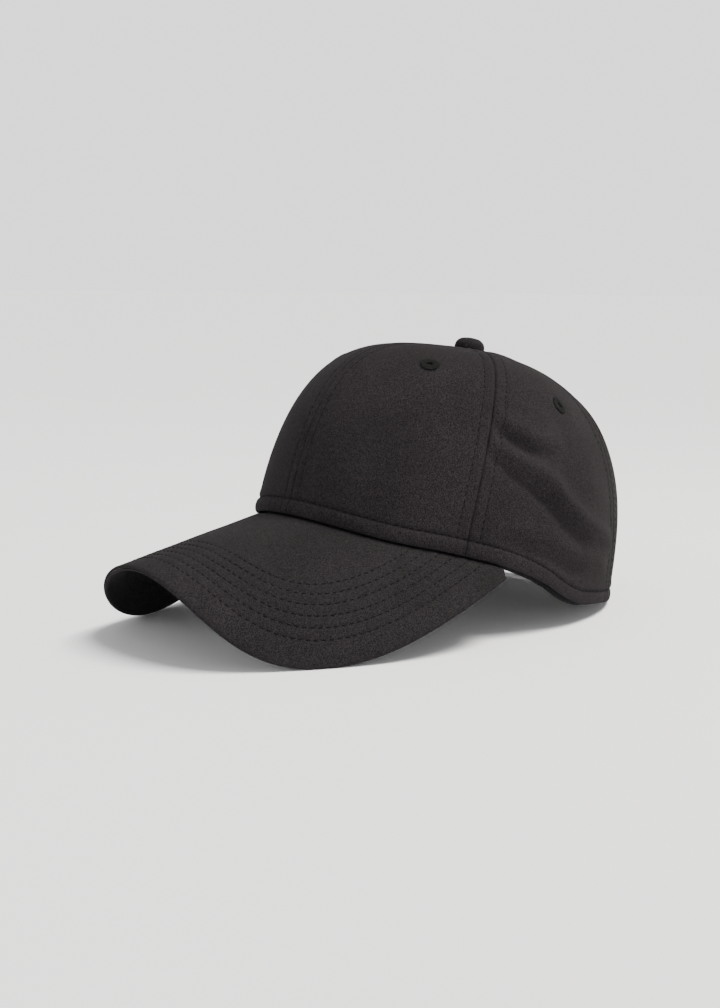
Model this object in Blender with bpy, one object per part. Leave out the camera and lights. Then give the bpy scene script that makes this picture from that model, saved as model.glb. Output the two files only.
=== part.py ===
"""Six-panel baseball cap with a curved visor and a buckled fabric strap at the back.

The cap is shaped in its own level frame: the hem lies near z = 0, the visor points
along -Y and the wearer's left side is +X. Lengths are millimetres and angles are
degrees until a mesh is made. An empty then tips the cap nose up, into the attitude in
which it stands on a table on the two sides of its visor and the corners of its back
opening. A turn goes round the head from the centre front (0) past the left side (90)
to the centre back (180). A rise climbs the crown from the hem (0) to the button (90).
"""

from math import cos, pi, radians, sin

import bmesh
import bpy
import numpy as np
from mathutils import Matrix, Vector

MM = 0.001

# Standing attitude: tip about X, and the level frame's origin over the table.
REST_TIP = 10.5
REST_LIFT = 11.9
REST_SHIFT = 36.5

# Crown: outer surface of the cloth.
HEM_HALF_WIDTH = 86.5
HEM_HALF_DEPTH = 103.5
HEM_EGG = 0.04
CROWN_HEIGHT = 122.5
TOP_SWELL = 2.1
TOP_SWELL_RADIUS = 28.0
ROUNDING = {"front": 0.53, "side": 0.60, "back": 0.84}
UPRIGHT = {"front": 0.93, "side": 0.88, "back": 0.74}
BULGE = {"front": -1.5, "side": -2.0, "back": 3.5}
PROW = 6.5
PROW_SPREAD = 25.0
PROW_FALL_OFF = 1.3

# Seams between the six panels.
SIDE_SEAM_AT_HEM = 58.7
SIDE_SEAM_AT_TOP = 68.0
BACK_SEAM = 124.0
SEAM_GAP = 0.3
TIP_RADIUS = 3.6
PANEL_COLUMNS = {"front": 9, "side": 8, "back": 8}
PANEL_ROWS = 14

# Visor: an arch across the head, bent round a sloping line from the hem outwards.
VISOR_SLOPE = 20.6
VISOR_ROOT_HEIGHT = 25.5
ARCH_RADIUS = 92.0
ARCH_TIGHTENING = 0.56
ARCH_FLATNESS = 0.28
ARCH_REFERENCE = 100.0
ARCH_SMALLEST_RADIUS = 30.0
ARCH_STEPS = 24
VISOR_LENGTH = 86.5
VISOR_HALF_SPREAD = 112.0
VISOR_SQUARENESS = 3.0
VISOR_END_TURN = 72.0
VISOR_END_SHARE = 0.985
VISOR_COLUMN_SPACING = 1.5
VISOR_END_SHARPNESS = 8.5
VISOR_END_FADE = 30.0
VISOR_TUCK = 3.9
VISOR_EDGE_ROUND = 1.5
VISOR_COLUMNS = 49
VISOR_ROWS = 7
WIDEST_TURN_ON_VISOR = 88.0

# Hem: it follows the visor in front and settles to a level line behind.
HEM_LEAVES_VISOR = 46.5
HEM_SETTLES = 106.0
BACK_HEM_HEIGHT = 3.0
HEM_CLEARANCE = 1.1

# Opening at the back, an arch in turn and rise.
OPENING_HALF_TURN = 31.0
OPENING_RISE = 19.0
COLUMNS_BESIDE_OPENING = (25.0, 16.0, 7.5, 1.5)

# Layers, as depths below the outer surface.
PANEL = (0.0, 0.9)
BUCKRAM = (1.4, 1.9)
FACING = (1.4, 1.9)
TAPE = (2.7, 3.1)
PADDING = (3.6, 4.3)
SWEATBAND = (4.8, 5.7)
VISOR_TOP_COVER = (0.0, 0.6)
VISOR_BOARD = (0.9, 2.1)
VISOR_UNDER_COVER = (2.4, 3.0)

# Sizes of the inside layers: heights over the hem in mm, turns in degrees.
INSIDE_START = 3.0
BUCKRAM_INSETS = (0.8, 2.0)
TAPE_WIDTH = 11.0
TAPE_TIP_RADIUS = 4.6
TAPE_MITRE_GAP = 0.4
TAPE_OVER_OPENING = 4.5
SWEATBAND_HEIGHT = 32.0
SWEATBAND_END_TURN = 131.0
SWEATBAND_COLUMNS = 53
SWEATBAND_SKIRT = 1.4
PADDING_END_TURN = 52.0
PADDING_COLUMNS = 21
PADDING_HEIGHTS = (4.0, 15.0, 27.0)
FACING_TURN = 6.0
FACING_RISE = 3.6
FACING_START = 0.9
FACING_COLUMNS = 25

# Eyelets: turn and rise of the three on the left side.
EYELETS = {"front": (35.5, 59.0), "side": (97.0, 51.5), "back": (152.0, 53.0)}
EYELET_RADIUS = 4.6
EYELET_HOLE = 1.3
EYELET_NECK = 2.0
EYELET_HEIGHTS = {"back": -1.2, "foot": 0.35, "shoulder": 0.9, "top": 1.1}
EYELET_CLEARANCE = 0.35
EYELET_SIDES = 16

# Button: (radius, height) of each dome's outside and inside, and its rivet.
BUTTON_COVER = ((8.0, 6.0), (7.3, 5.3))
BUTTON_SHELL = ((6.9, 4.9), (6.3, 4.3))
BUTTON_SEAT = 0.45
BUTTON_SIDES = 20
RIVET_HEAD = {"radius": 2.4, "low": 2.8, "high": 3.6}
RIVET_SHANK_RADIUS = 1.4
RIVET_WASHER = {"radius": 5.0, "low": -4.4, "rim": -3.8, "high": -3.4}

# Back strap and buckle: bands on circles about one upright axis.
STRAP_AXIS_Y = 28.6
STRAP_RADII = (70.7, 71.6)
STRAP_MID_HEIGHT = 18.5
STRAP_WIDTH = 16.0
STRAP_END_TURNS = (-46.0, 46.0)
STRAP_COLUMNS = 24
BUCKLE_TURNS = (-20.0, -2.0)
BUCKLE_HEIGHT = 20.4
CHEEK = 1.6
FLOOR_RADII = (69.4, 70.3)
CHEEK_RADII = (69.1, 75.2)
PIN_RADIUS = 0.8
PIN_HOLE_RADIUS = 1.15
PIN_DISTANCE = 73.8
LEVER_RADII = (72.3, 73.1)
LEVER_BARREL_RADIUS = 1.9
LEVER_SIDE_GAP = 0.35
LEVER_TIP_TURN = 4.4
PIN_INSET = 0.1
BAR_TURN = 1.6
BAR_RADIUS = 0.8
FLOOR_INSET_TURN = 0.4
LOOP_RADII = (1.1, 1.8)
LOOP_END_TURN = -32.4
LOOP_TAIL_RADII = (72.2, 73.7, 74.0)

BLACK_CLOTH = (0.030, 0.028, 0.030)


# ---------------------------------------------------------------- surfaces

def smooth_step(t):
    t = np.clip(t, 0.0, 1.0)
    return t * t * (3.0 - 2.0 * t)


def round_the_head(values, turn):
    """A value that changes smoothly from front to side to back."""
    c = np.cos(np.radians(turn))
    end = np.where(c > 0, values["front"], values["back"])
    return values["side"] + (end - values["side"]) * np.abs(c)


def hem_plan(turn):
    t = np.radians(turn)
    x = HEM_HALF_WIDTH * np.sin(t) * (1 + HEM_EGG * np.cos(t))
    return x, -HEM_HALF_DEPTH * np.cos(t)


def arch(across, out):
    """Sideways reach and drop of the visor's arch, a length across from its middle."""
    radius = np.maximum(ARCH_RADIUS - ARCH_TIGHTENING * out, ARCH_SMALLEST_RADIUS)
    reach = np.zeros_like(across)
    drop = np.zeros_like(across)
    for i in range(ARCH_STEPS):
        s = across * (i + 0.5) / ARCH_STEPS / ARCH_REFERENCE
        lean = (1 - ARCH_FLATNESS) * s + ARCH_FLATNESS * s ** 3
        lean = lean * ARCH_REFERENCE / radius
        reach = reach + np.cos(lean) * across / ARCH_STEPS
        drop = drop - np.sin(lean) * across / ARCH_STEPS
    return reach, drop


def visor_from_pattern(across, out):
    """Visor's top surface from its flat pattern: a length across and a length out."""
    slope = radians(VISOR_SLOPE)
    reach, drop = arch(across, out)
    y = -HEM_HALF_DEPTH - out * cos(slope) - drop * sin(slope)
    z = VISOR_ROOT_HEIGHT - out * sin(slope) + drop * cos(slope)
    return np.stack([reach, y, z], axis=-1)


def pattern_under(x, y):
    """Place in the visor's flat pattern that lies at a given x and y."""
    slope = radians(VISOR_SLOPE)
    across = np.array(x, dtype=float)
    out = np.zeros_like(across)
    for _ in range(16):
        reach, drop = arch(across, out)
        across = across + (x - reach) * 1.1
        target = (-HEM_HALF_DEPTH - y - drop * sin(slope)) / cos(slope)
        out = 0.5 * (out + target)
    return across, out


def hem_height(turn):
    """Height of the hem, which is also the visor's height where they meet."""
    away = np.abs((np.asarray(turn, dtype=float) + 180.0) % 360.0 - 180.0)
    near = hem_plan(np.minimum(away, WIDEST_TURN_ON_VISOR))
    on_visor = visor_from_pattern(*pattern_under(*near))[..., 2]
    level = BACK_HEM_HEIGHT * (1 - np.cos(np.radians(away))) / 2
    settled = smooth_step((away - HEM_LEAVES_VISOR) / (HEM_SETTLES - HEM_LEAVES_VISOR))
    return on_visor * (1 - settled) + level * settled


def crown_surface(turn, rise):
    """Outer surface of the crown's cloth."""
    up = np.radians(rise)
    x, y = hem_plan(turn)
    base = hem_height(turn) + HEM_CLEARANCE
    shrink = np.cos(up) ** round_the_head(ROUNDING, turn)
    climb = np.sin(up) ** round_the_head(UPRIGHT, turn)
    away = np.abs((turn + 180.0) % 360.0 - 180.0)
    prow = PROW * np.exp(-(away / PROW_SPREAD) ** PROW_FALL_OFF) * np.sin(up) ** 2 * np.cos(up)
    swell = round_the_head(BULGE, turn) * np.sin(2 * up) + prow
    plan = np.hypot(x, y)
    px = x * shrink + x / plan * swell
    py = y * shrink + y / plan * swell
    top = TOP_SWELL * np.exp(-(px ** 2 + py ** 2) / TOP_SWELL_RADIUS ** 2)
    return np.stack([px, py, base + (CROWN_HEIGHT - base) * climb + top], axis=-1)


def rise_at_radius(turn, radius):
    """Rise at which the crown has closed in to a given plan radius."""
    x, y = hem_plan(turn)
    shrink = np.minimum(radius / np.hypot(x, y), 1.0)
    return np.degrees(np.arccos(shrink ** (1 / round_the_head(ROUNDING, turn))))


def rise_at_height(turn, height):
    """Rise at which the crown stands a given height over its hem."""
    base = hem_height(turn) + HEM_CLEARANCE
    climb = np.clip(height / (CROWN_HEIGHT - base), 0.0, 1.0)
    return np.degrees(np.arcsin(climb ** (1 / round_the_head(UPRIGHT, turn))))


def climbing_rows(turn, start, end, count):
    """Rises from start to end, spaced evenly along the crown."""
    power = 1 / round_the_head(ROUNDING, turn)
    last = 1 - ((90 - end) / (90 - start)) ** (1 / power)
    t = np.linspace(0, 1, count)
    left = np.clip(1 - t * last[..., None], 0.0, 1.0)
    return 90 - (90 - start)[..., None] * left ** power[..., None]


def side_seam(rise):
    """Turn of the seam between the front and the side panel."""
    return SIDE_SEAM_AT_HEM + (SIDE_SEAM_AT_TOP - SIDE_SEAM_AT_HEM) * rise / 90


def opening_edge(turn):
    """Rise of the back opening's arch, or 0 beside it."""
    across = np.clip((180 - turn) / OPENING_HALF_TURN, 0.0, 1.0)
    return OPENING_RISE * np.sqrt(1 - across ** 2)


def grid_normals(points, outwards):
    """Unit normals of a grid of points, on the side that the given vector points to."""
    along = np.gradient(points, axis=0)
    up = np.gradient(points, axis=1)
    normals = np.cross(along, up)
    normals /= np.linalg.norm(normals, axis=-1, keepdims=True)
    middle = normals[normals.shape[0] // 2, normals.shape[1] // 2]
    return normals if middle @ np.array(outwards) > 0 else -normals


# ---------------------------------------------------------------- meshes

def cloth(name, color=BLACK_CLOTH, roughness=0.9, metallic=0.0):
    material = bpy.data.materials.new(name)
    material.use_nodes = True
    shader = material.node_tree.nodes["Principled BSDF"]
    shader.inputs["Base Color"].default_value = (*color, 1.0)
    shader.inputs["Roughness"].default_value = roughness
    shader.inputs["Metallic"].default_value = metallic
    return material


def place(name, mesh, material, stand):
    mesh.materials.append(material)
    mesh.shade_smooth()
    mesh.set_sharp_from_angle(angle=radians(35))
    piece = bpy.data.objects.new(name, mesh)
    bpy.context.scene.collection.objects.link(piece)
    piece.parent = stand
    return piece


def pressed_on_table(points):
    """Points with everything below the table's plane pressed up to it."""
    tip = radians(REST_TIP)
    up = np.array([0.0, -sin(tip), cos(tip)])
    height = points @ up + REST_LIFT
    return points - np.minimum(height, 0.0)[..., None] * up


def solid_between(name, outer, inner, material, stand, mirrored=False):
    """Closed solid between two matching grids of points, a front and a back."""
    outer, inner = pressed_on_table(outer), pressed_on_table(inner)
    if mirrored:
        flip = np.array([-1.0, 1.0, 1.0])
        outer, inner = outer * flip, inner * flip
    columns, rows = outer.shape[:2]
    model = bmesh.new()
    front = [[model.verts.new(p * MM) for p in column] for column in outer]
    back = [[model.verts.new(p * MM) for p in column] for column in inner]
    for c in range(columns - 1):
        for r in range(rows - 1):
            for side in (front, back):
                model.faces.new((side[c][r], side[c + 1][r], side[c + 1][r + 1]))
                model.faces.new((side[c][r], side[c + 1][r + 1], side[c][r + 1]))
        for r in (0, rows - 1):
            model.faces.new((front[c][r], back[c][r], back[c + 1][r], front[c + 1][r]))
    for c in (0, columns - 1):
        for r in range(rows - 1):
            model.faces.new((front[c][r], front[c][r + 1], back[c][r + 1], back[c][r]))
    bmesh.ops.recalc_face_normals(model, faces=model.faces)
    mesh = bpy.data.meshes.new(name)
    model.to_mesh(mesh)
    model.free()
    return place(name, mesh, material, stand)


def layer(name, points, depths, material, stand, outwards, mirrored=False):
    """Sheet of cloth between two depths below a surface."""
    normals = grid_normals(points, outwards)
    outer = points - normals * depths[0]
    inner = points - normals * depths[1]
    return solid_between(name, outer, inner, material, stand, mirrored)


def turned(name, profile, sides, material, stand):
    """Solid of revolution about Z from a closed profile of (radius, height)."""
    model = bmesh.new()
    ring = [model.verts.new((r * MM, 0, z * MM)) for r, z in profile]
    edges = [model.edges.new((a, b)) for a, b in zip(ring, ring[1:] + ring[:1])]
    bmesh.ops.spin(model, geom=ring + edges, cent=(0, 0, 0), axis=(0, 0, 1),
                   angle=2 * pi, steps=sides, use_merge=True)
    bmesh.ops.remove_doubles(model, verts=model.verts, dist=1e-6)
    bmesh.ops.dissolve_degenerate(model, edges=model.edges, dist=1e-6)
    bmesh.ops.recalc_face_normals(model, faces=model.faces)
    mesh = bpy.data.meshes.new(name)
    model.to_mesh(mesh)
    model.free()
    return place(name, mesh, material, stand)


def dome(radius, height, steps):
    """Quarter of a squarish dome, from its pole down to its rim."""
    points = []
    for i in range(steps + 1):
        a = radians(90 * i / steps)
        points.append((radius * sin(a) ** 0.75, height * cos(a) ** 0.75))
    return points


def hollow_dome(outside, inside, steps):
    """Closed profile of a dome of one thickness; its poles and rims are (radius, height)."""
    return dome(*outside, steps) + dome(*inside, steps)[::-1]


def prism(name, outline, low, high, material, stand):
    """Upright prism over a closed outline of (x, y)."""
    model = bmesh.new()
    bottom = model.faces.new([model.verts.new((x * MM, y * MM, low * MM)) for x, y in outline])
    lifted = bmesh.ops.extrude_face_region(model, geom=[bottom])["geom"]
    top = [v for v in lifted if isinstance(v, bmesh.types.BMVert)]
    bmesh.ops.translate(model, verts=top, vec=(0, 0, (high - low) * MM))
    bmesh.ops.recalc_face_normals(model, faces=model.faces)
    mesh = bpy.data.meshes.new(name)
    model.to_mesh(mesh)
    model.free()
    return place(name, mesh, material, stand)


def boolean(piece, tool, operation):
    """Join or cut a piece with a guide solid, which is hidden."""
    tool.hide_render = True
    tool.display_type = "WIRE"
    change = piece.modifiers.new(tool.name, "BOOLEAN")
    change.operation = operation
    change.object = tool


# ---------------------------------------------------------------- crown

def panel_points(left_edge, right_edge, columns, start_rise):
    """Grid of a panel between two seams, each a function of the rise."""
    share = np.linspace(0, 1, columns)
    at_top = left_edge(90.0) + (right_edge(90.0) - left_edge(90.0)) * share
    end = rise_at_radius(at_top, TIP_RADIUS)
    rise = climbing_rows(at_top, start_rise(at_top), end, PANEL_ROWS)
    first, last = left_edge(rise), right_edge(rise)
    turn = first + (last - first) * share[:, None]
    surface = crown_surface(turn, rise)
    trim = np.degrees(SEAM_GAP / 2 / np.hypot(surface[..., 0], surface[..., 1]))
    turn = turn + trim * (1 - 2 * share[:, None])
    return crown_surface(turn, rise)


def at_hem(turn):
    return np.zeros_like(turn)


def at_back_seam(rise):
    return np.full_like(rise, BACK_SEAM)


def back_panel_points():
    """Grid of a back panel, with its lower edge on the opening's arch."""
    beside = 180 - OPENING_HALF_TURN - np.array(COLUMNS_BESIDE_OPENING)
    around = 180 - OPENING_HALF_TURN * np.cos(np.linspace(0, pi / 2, PANEL_COLUMNS["back"]))
    turn = np.concatenate([beside, around])
    end = rise_at_radius(turn, TIP_RADIUS)
    rise = climbing_rows(turn, opening_edge(turn), end, PANEL_ROWS)
    surface = crown_surface(turn[:, None], rise)
    trim = np.degrees(SEAM_GAP / 2 / np.hypot(surface[..., 0], surface[..., 1]))
    share = (turn[:, None] - BACK_SEAM) / (180 - BACK_SEAM)
    return crown_surface(turn[:, None] + trim * (1 - 2 * share), rise)


def add_eyelet(kind, side, panels, material, stand):
    """Embroidered ring round a hole through its panel."""
    turn, rise = EYELETS[kind]
    steps = np.array([[-0.5, 0.5]])
    patch = crown_surface(turn + steps.T * np.ones((1, 2)), rise + steps * np.ones((2, 1)))
    normal = Vector(grid_normals(patch, (1, 0, 1))[0, 0])
    centre = Vector(patch.mean(axis=(0, 1)))
    if side == "right":
        normal.x, centre.x = -normal.x, -centre.x
    facing = Matrix.Translation(centre * MM) @ normal.to_track_quat("Z", "Y").to_matrix().to_4x4()
    at = EYELET_HEIGHTS
    profile = [(EYELET_HOLE, at["shoulder"] - 0.2), (EYELET_HOLE, at["back"]), (EYELET_NECK, at["back"]),
               (EYELET_NECK, at["foot"]), (EYELET_RADIUS, at["foot"]),
               (EYELET_RADIUS - 0.4, at["shoulder"]), (EYELET_HOLE + 0.5, at["top"])]
    ring = turned(f"eyelet_{kind}_{side}", profile, EYELET_SIDES, material, stand)
    radius, reach = EYELET_NECK + EYELET_CLEARANCE, EYELET_RADIUS
    hole = [(0, -reach), (radius, -reach), (radius, reach), (0, reach)]
    cutter = turned(f"hole_{kind}_{side}", hole, EYELET_SIDES, material, stand)
    for piece in (ring, cutter):
        piece.matrix_local = facing
    for panel in panels:
        boolean(panel, cutter, "DIFFERENCE")


def add_crown(stand):
    twill = cloth("crown_cloth")
    thread = cloth("eyelet_thread", (0.020, 0.024, 0.022))
    stiffener = cloth("buckram_mesh", (0.055, 0.055, 0.058))
    grids = {
        "front": panel_points(np.zeros_like, side_seam, PANEL_COLUMNS["front"], at_hem),
        "side": panel_points(side_seam, at_back_seam, PANEL_COLUMNS["side"], at_hem),
        "back": back_panel_points(),
    }
    stiff = panel_points(lambda r: np.full_like(r, BUCKRAM_INSETS[0]),
                         lambda r: side_seam(r) - BUCKRAM_INSETS[1],
                         PANEL_COLUMNS["front"], lambda t: rise_at_height(t, INSIDE_START))[:, :-1]
    for side in ("left", "right"):
        mirrored = side == "right"
        for kind, points in grids.items():
            panel = layer(f"{kind}_panel_{side}", points, PANEL, twill, stand, (1, 0, 0.5), mirrored)
            backing = []
            if kind == "front":
                backing.append(layer(f"front_buckram_{side}", stiff, BUCKRAM, stiffener, stand,
                                     (1, 0, 0.5), mirrored))
            add_eyelet(kind, side, [panel] + backing, thread, stand)


def add_seam_tapes(stand):
    """Tapes over the six seams inside, mitred where they meet under the button."""
    webbing = cloth("seam_tape", (0.040, 0.038, 0.040))
    above_opening = OPENING_RISE + TAPE_OVER_OPENING
    routes = {
        "front": (np.zeros_like, None),
        "front_left": (side_seam, "front_right"),
        "back_left": (at_back_seam, "back_right"),
        "back": (lambda rise: np.full_like(rise, 180.0), None),
    }
    for name, (seam, twin) in routes.items():
        at_top = seam(np.array([90.0]))
        low = above_opening if name == "back" else rise_at_height(at_top, INSIDE_START)[0]
        end = rise_at_radius(at_top, TAPE_TIP_RADIUS)
        rise = climbing_rows(at_top, np.array([low]), end, PANEL_ROWS)[0]
        centre = crown_surface(seam(rise), rise)
        plan = np.hypot(centre[:, 0], centre[:, 1])
        half = np.minimum(TAPE_WIDTH / 2, plan / 2 - TAPE_MITRE_GAP)
        spread = np.degrees(half / plan)
        across = np.array([-1.0, 0.0, 1.0])
        points = crown_surface(seam(rise) + across[:, None] * spread, rise + 0 * across[:, None])
        outwards = centre[0] * np.array([1, 1, 0])
        layer(f"seam_tape_{name}", points, TAPE, webbing, stand, outwards)
        if twin:
            layer(f"seam_tape_{twin}", points, TAPE, webbing, stand, outwards, True)


def add_sweatband(stand):
    """Sweatband all round up to the back opening, with padding behind it in front."""
    turn = np.linspace(-SWEATBAND_END_TURN, SWEATBAND_END_TURN, SWEATBAND_COLUMNS)[:, None]
    heights = SWEATBAND_HEIGHT * np.array([0, 10, 21, 32]) / 32
    points = crown_surface(turn + 0 * heights, rise_at_height(turn, heights))
    skirt = points[:, :1] - np.array([0, 0, SWEATBAND_SKIRT])
    points = np.concatenate([skirt, points[:, 1:]], axis=1)
    layer("sweatband", points, SWEATBAND, cloth("sweatband_cloth", (0.022, 0.021, 0.023)), stand,
          (0, -1, 0))
    turn = np.linspace(-PADDING_END_TURN, PADDING_END_TURN, PADDING_COLUMNS)[:, None]
    heights = np.array(PADDING_HEIGHTS)
    points = crown_surface(turn + 0 * heights, rise_at_height(turn, heights))
    foam = cloth("foam", (0.30, 0.30, 0.29))
    layer("sweatband_padding", points, PADDING, foam, stand, (0, -1, 0))


def add_opening_facing(stand):
    """Tape that faces the back opening's arch on the inside."""
    sweep = np.radians(np.linspace(0, 180, FACING_COLUMNS))[:, None]
    grow = np.array([0.0, 1.0])
    turn = 180 - (OPENING_HALF_TURN + FACING_TURN * grow) * np.cos(sweep)
    rise = (OPENING_RISE + FACING_RISE * grow) * np.sin(sweep)
    rise = np.maximum(rise, rise_at_height(turn, FACING_START))
    layer("opening_facing", crown_surface(turn, rise), FACING, cloth("facing_tape"), stand, (0, 1, 0))


def add_button(stand):
    """Covered button over the point where the panels meet, and the rivet that holds it."""
    apex = Vector((0, 0, CROWN_HEIGHT + TOP_SWELL))
    head, washer = RIVET_HEAD, RIVET_WASHER
    rivet = [(0, head["high"]), (head["radius"], head["high"]), (head["radius"], head["low"]),
             (RIVET_SHANK_RADIUS, head["low"]), (RIVET_SHANK_RADIUS, washer["high"]),
             (washer["radius"], washer["rim"]), (washer["radius"], washer["low"]), (0, washer["low"])]
    parts = {
        "button_cover": (hollow_dome(*BUTTON_COVER, 7), cloth("button_cloth")),
        "button_shell": (hollow_dome(*BUTTON_SHELL, 6), cloth("button_metal", (0.55, 0.55, 0.56), 0.4, 1.0)),
        "button_rivet": (rivet, cloth("rivet_metal", (0.10, 0.10, 0.10), 0.4, 1.0)),
    }
    for name, (profile, material) in parts.items():
        piece = turned(name, profile, BUTTON_SIDES, material, stand)
        seat = 0.0 if name == "button_rivet" else BUTTON_SEAT
        piece.location = (apex + Vector((0, 0, seat))) * MM


# ---------------------------------------------------------------- visor

def visor_points(columns, rows):
    """Visor's top surface from its tucked root out to the board's edge."""
    t = np.linspace(-VISOR_END_SHARE, VISOR_END_SHARE, columns)
    turn = t * VISOR_END_TURN
    x, y = hem_plan(turn)
    inner = np.stack(pattern_under(x, y), axis=-1)
    end_out = pattern_under(*hem_plan(np.array([VISOR_END_TURN])))[1][0]
    u = np.sign(t) * np.abs(t) ** VISOR_COLUMN_SPACING
    sweep = np.radians(90 * u)
    spread = VISOR_HALF_SPREAD - VISOR_EDGE_ROUND
    length = VISOR_LENGTH - VISOR_EDGE_ROUND
    curve = 2 / VISOR_SQUARENESS
    edge_across = spread * np.sign(u) * np.abs(np.sin(sweep)) ** curve
    edge_out = end_out + (length - end_out) * np.abs(np.cos(sweep)) ** curve
    edge = np.stack([edge_across, edge_out], axis=-1)
    join = (np.abs(u) ** VISOR_END_SHARPNESS)[:, None]
    edge = edge * (1 - join) + inner * join
    share = np.linspace(0, 1, rows)[None, :, None]
    pattern = inner[:, None] * (1 - share) + edge[:, None] * share
    surface = visor_from_pattern(pattern[..., 0], pattern[..., 1])
    plan = np.stack([x, y], axis=-1)
    tucked = plan * (1 - VISOR_TUCK / np.linalg.norm(plan, axis=-1, keepdims=True))
    hem = hem_height(turn)
    root = np.concatenate([tucked, hem[:, None]], axis=-1)
    fall = hem - surface[:, 0, 2]
    away = np.linalg.norm(pattern - inner[:, None], axis=-1)
    surface[..., 2] += fall[:, None] * np.exp(-(away / VISOR_END_FADE) ** 2)
    return np.concatenate([root[:, None], surface], axis=1)


def rounded_edge(points, normals, radius, depth, angles):
    """Rows that roll round the visor's edge at a radius about its middle depth."""
    last = points[:, -1]
    along = np.gradient(last, axis=0)
    along /= np.linalg.norm(along, axis=-1, keepdims=True)
    outwards = np.cross(along, normals[:, -1])
    outwards *= np.sign(np.sum(outwards * (last - points[:, -2]), axis=-1, keepdims=True))
    centre = last - normals[:, -1] * depth
    rows = [centre + radius * (outwards * cos(radians(a)) + normals[:, -1] * sin(radians(a)))
            for a in angles]
    return np.stack(rows, axis=1)


def visor_normals(points):
    """Normals that turn steady along each column towards the visor's narrow ends."""
    normals = grid_normals(points, (0, -0.3, 1))
    steady = normals.mean(axis=1, keepdims=True)
    share = np.linspace(-1, 1, len(points))[:, None, None] ** 6
    normals = normals * (1 - share) + steady * share
    return normals / np.linalg.norm(normals, axis=-1, keepdims=True)


def add_visor(stand):
    points = visor_points(VISOR_COLUMNS, VISOR_ROWS)
    normals = visor_normals(points)
    twill = cloth("visor_cloth")
    middle = (VISOR_TOP_COVER[0] + VISOR_UNDER_COVER[1]) / 2
    cover = VISOR_TOP_COVER[1] - VISOR_TOP_COVER[0]
    top, bottom = [points - normals * depth for depth in VISOR_BOARD]
    solid_between("visor_board", top, bottom, cloth("board", (0.35, 0.34, 0.31), 0.6), stand)
    for name, (near, far), way in (("visor_top_cover", VISOR_TOP_COVER, 1),
                                   ("visor_under_cover", VISOR_UNDER_COVER[::-1], -1)):
        outer_edge = rounded_edge(points, normals, VISOR_EDGE_ROUND, middle,
                                  [way * a for a in (60, 32, 6)])
        inner_edge = rounded_edge(points, normals, VISOR_EDGE_ROUND - cover, middle,
                                  [way * a for a in (60, 34, 10)])
        outer = np.concatenate([points - normals * near, outer_edge], axis=1)
        inner = np.concatenate([points - normals * far, inner_edge], axis=1)
        solid_between(name, outer, inner, twill, stand)


# ---------------------------------------------------------------- strap and buckle

def on_strap_circle(turn, radius):
    """Plan point on a circle about the strap's axis; 0 is the centre back."""
    a = radians(turn)
    return radius * sin(a), STRAP_AXIS_Y + radius * cos(a)


def band_outline(turns, radii, steps):
    """Outline of a curved band between two turns and two radii."""
    sweep = [turns[0] + (turns[1] - turns[0]) * i / steps for i in range(steps + 1)]
    inside = [on_strap_circle(a, radii[0]) for a in sweep]
    outside = [on_strap_circle(a, radii[1]) for a in reversed(sweep)]
    return inside + outside


def circle_outline(centre, radius, sides):
    return [(centre[0] + radius * cos(2 * pi * i / sides), centre[1] + radius * sin(2 * pi * i / sides))
            for i in range(sides)]


def add_strap(stand):
    """Long strap from the left panel, through the buckle, its tail behind the right panel."""
    webbing = cloth("strap_cloth")
    low = STRAP_MID_HEIGHT - STRAP_WIDTH / 2
    high = STRAP_MID_HEIGHT + STRAP_WIDTH / 2
    prism("strap", band_outline(STRAP_END_TURNS, STRAP_RADII, STRAP_COLUMNS), low, high, webbing, stand)
    prism("strap_loop", loop_outline(), low, high, webbing, stand)


def loop_outline():
    """Short loop: round the buckle's bar, its two ends side by side and sewn to the right panel."""
    bar_turn = BUCKLE_TURNS[0] + BAR_TURN
    bar = on_strap_circle(bar_turn, PIN_DISTANCE)
    hook = []
    for radius, way in ((LOOP_RADII[1], 1), (LOOP_RADII[0], -1)):
        for i in range(9)[::way]:
            a = radians(90 - 180 * i / 8 - bar_turn)
            hook.append((bar[0] + radius * cos(a), bar[1] + radius * sin(a)))
        if way == 1:
            inside, bend, outside = LOOP_TAIL_RADII
            hook += [on_strap_circle(LOOP_END_TURN * 0.55 + bar_turn * 0.45, inside),
                     on_strap_circle(LOOP_END_TURN, inside), on_strap_circle(LOOP_END_TURN, outside),
                     on_strap_circle(LOOP_END_TURN * 0.8 + bar_turn * 0.2, bend)]
    return hook


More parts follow.
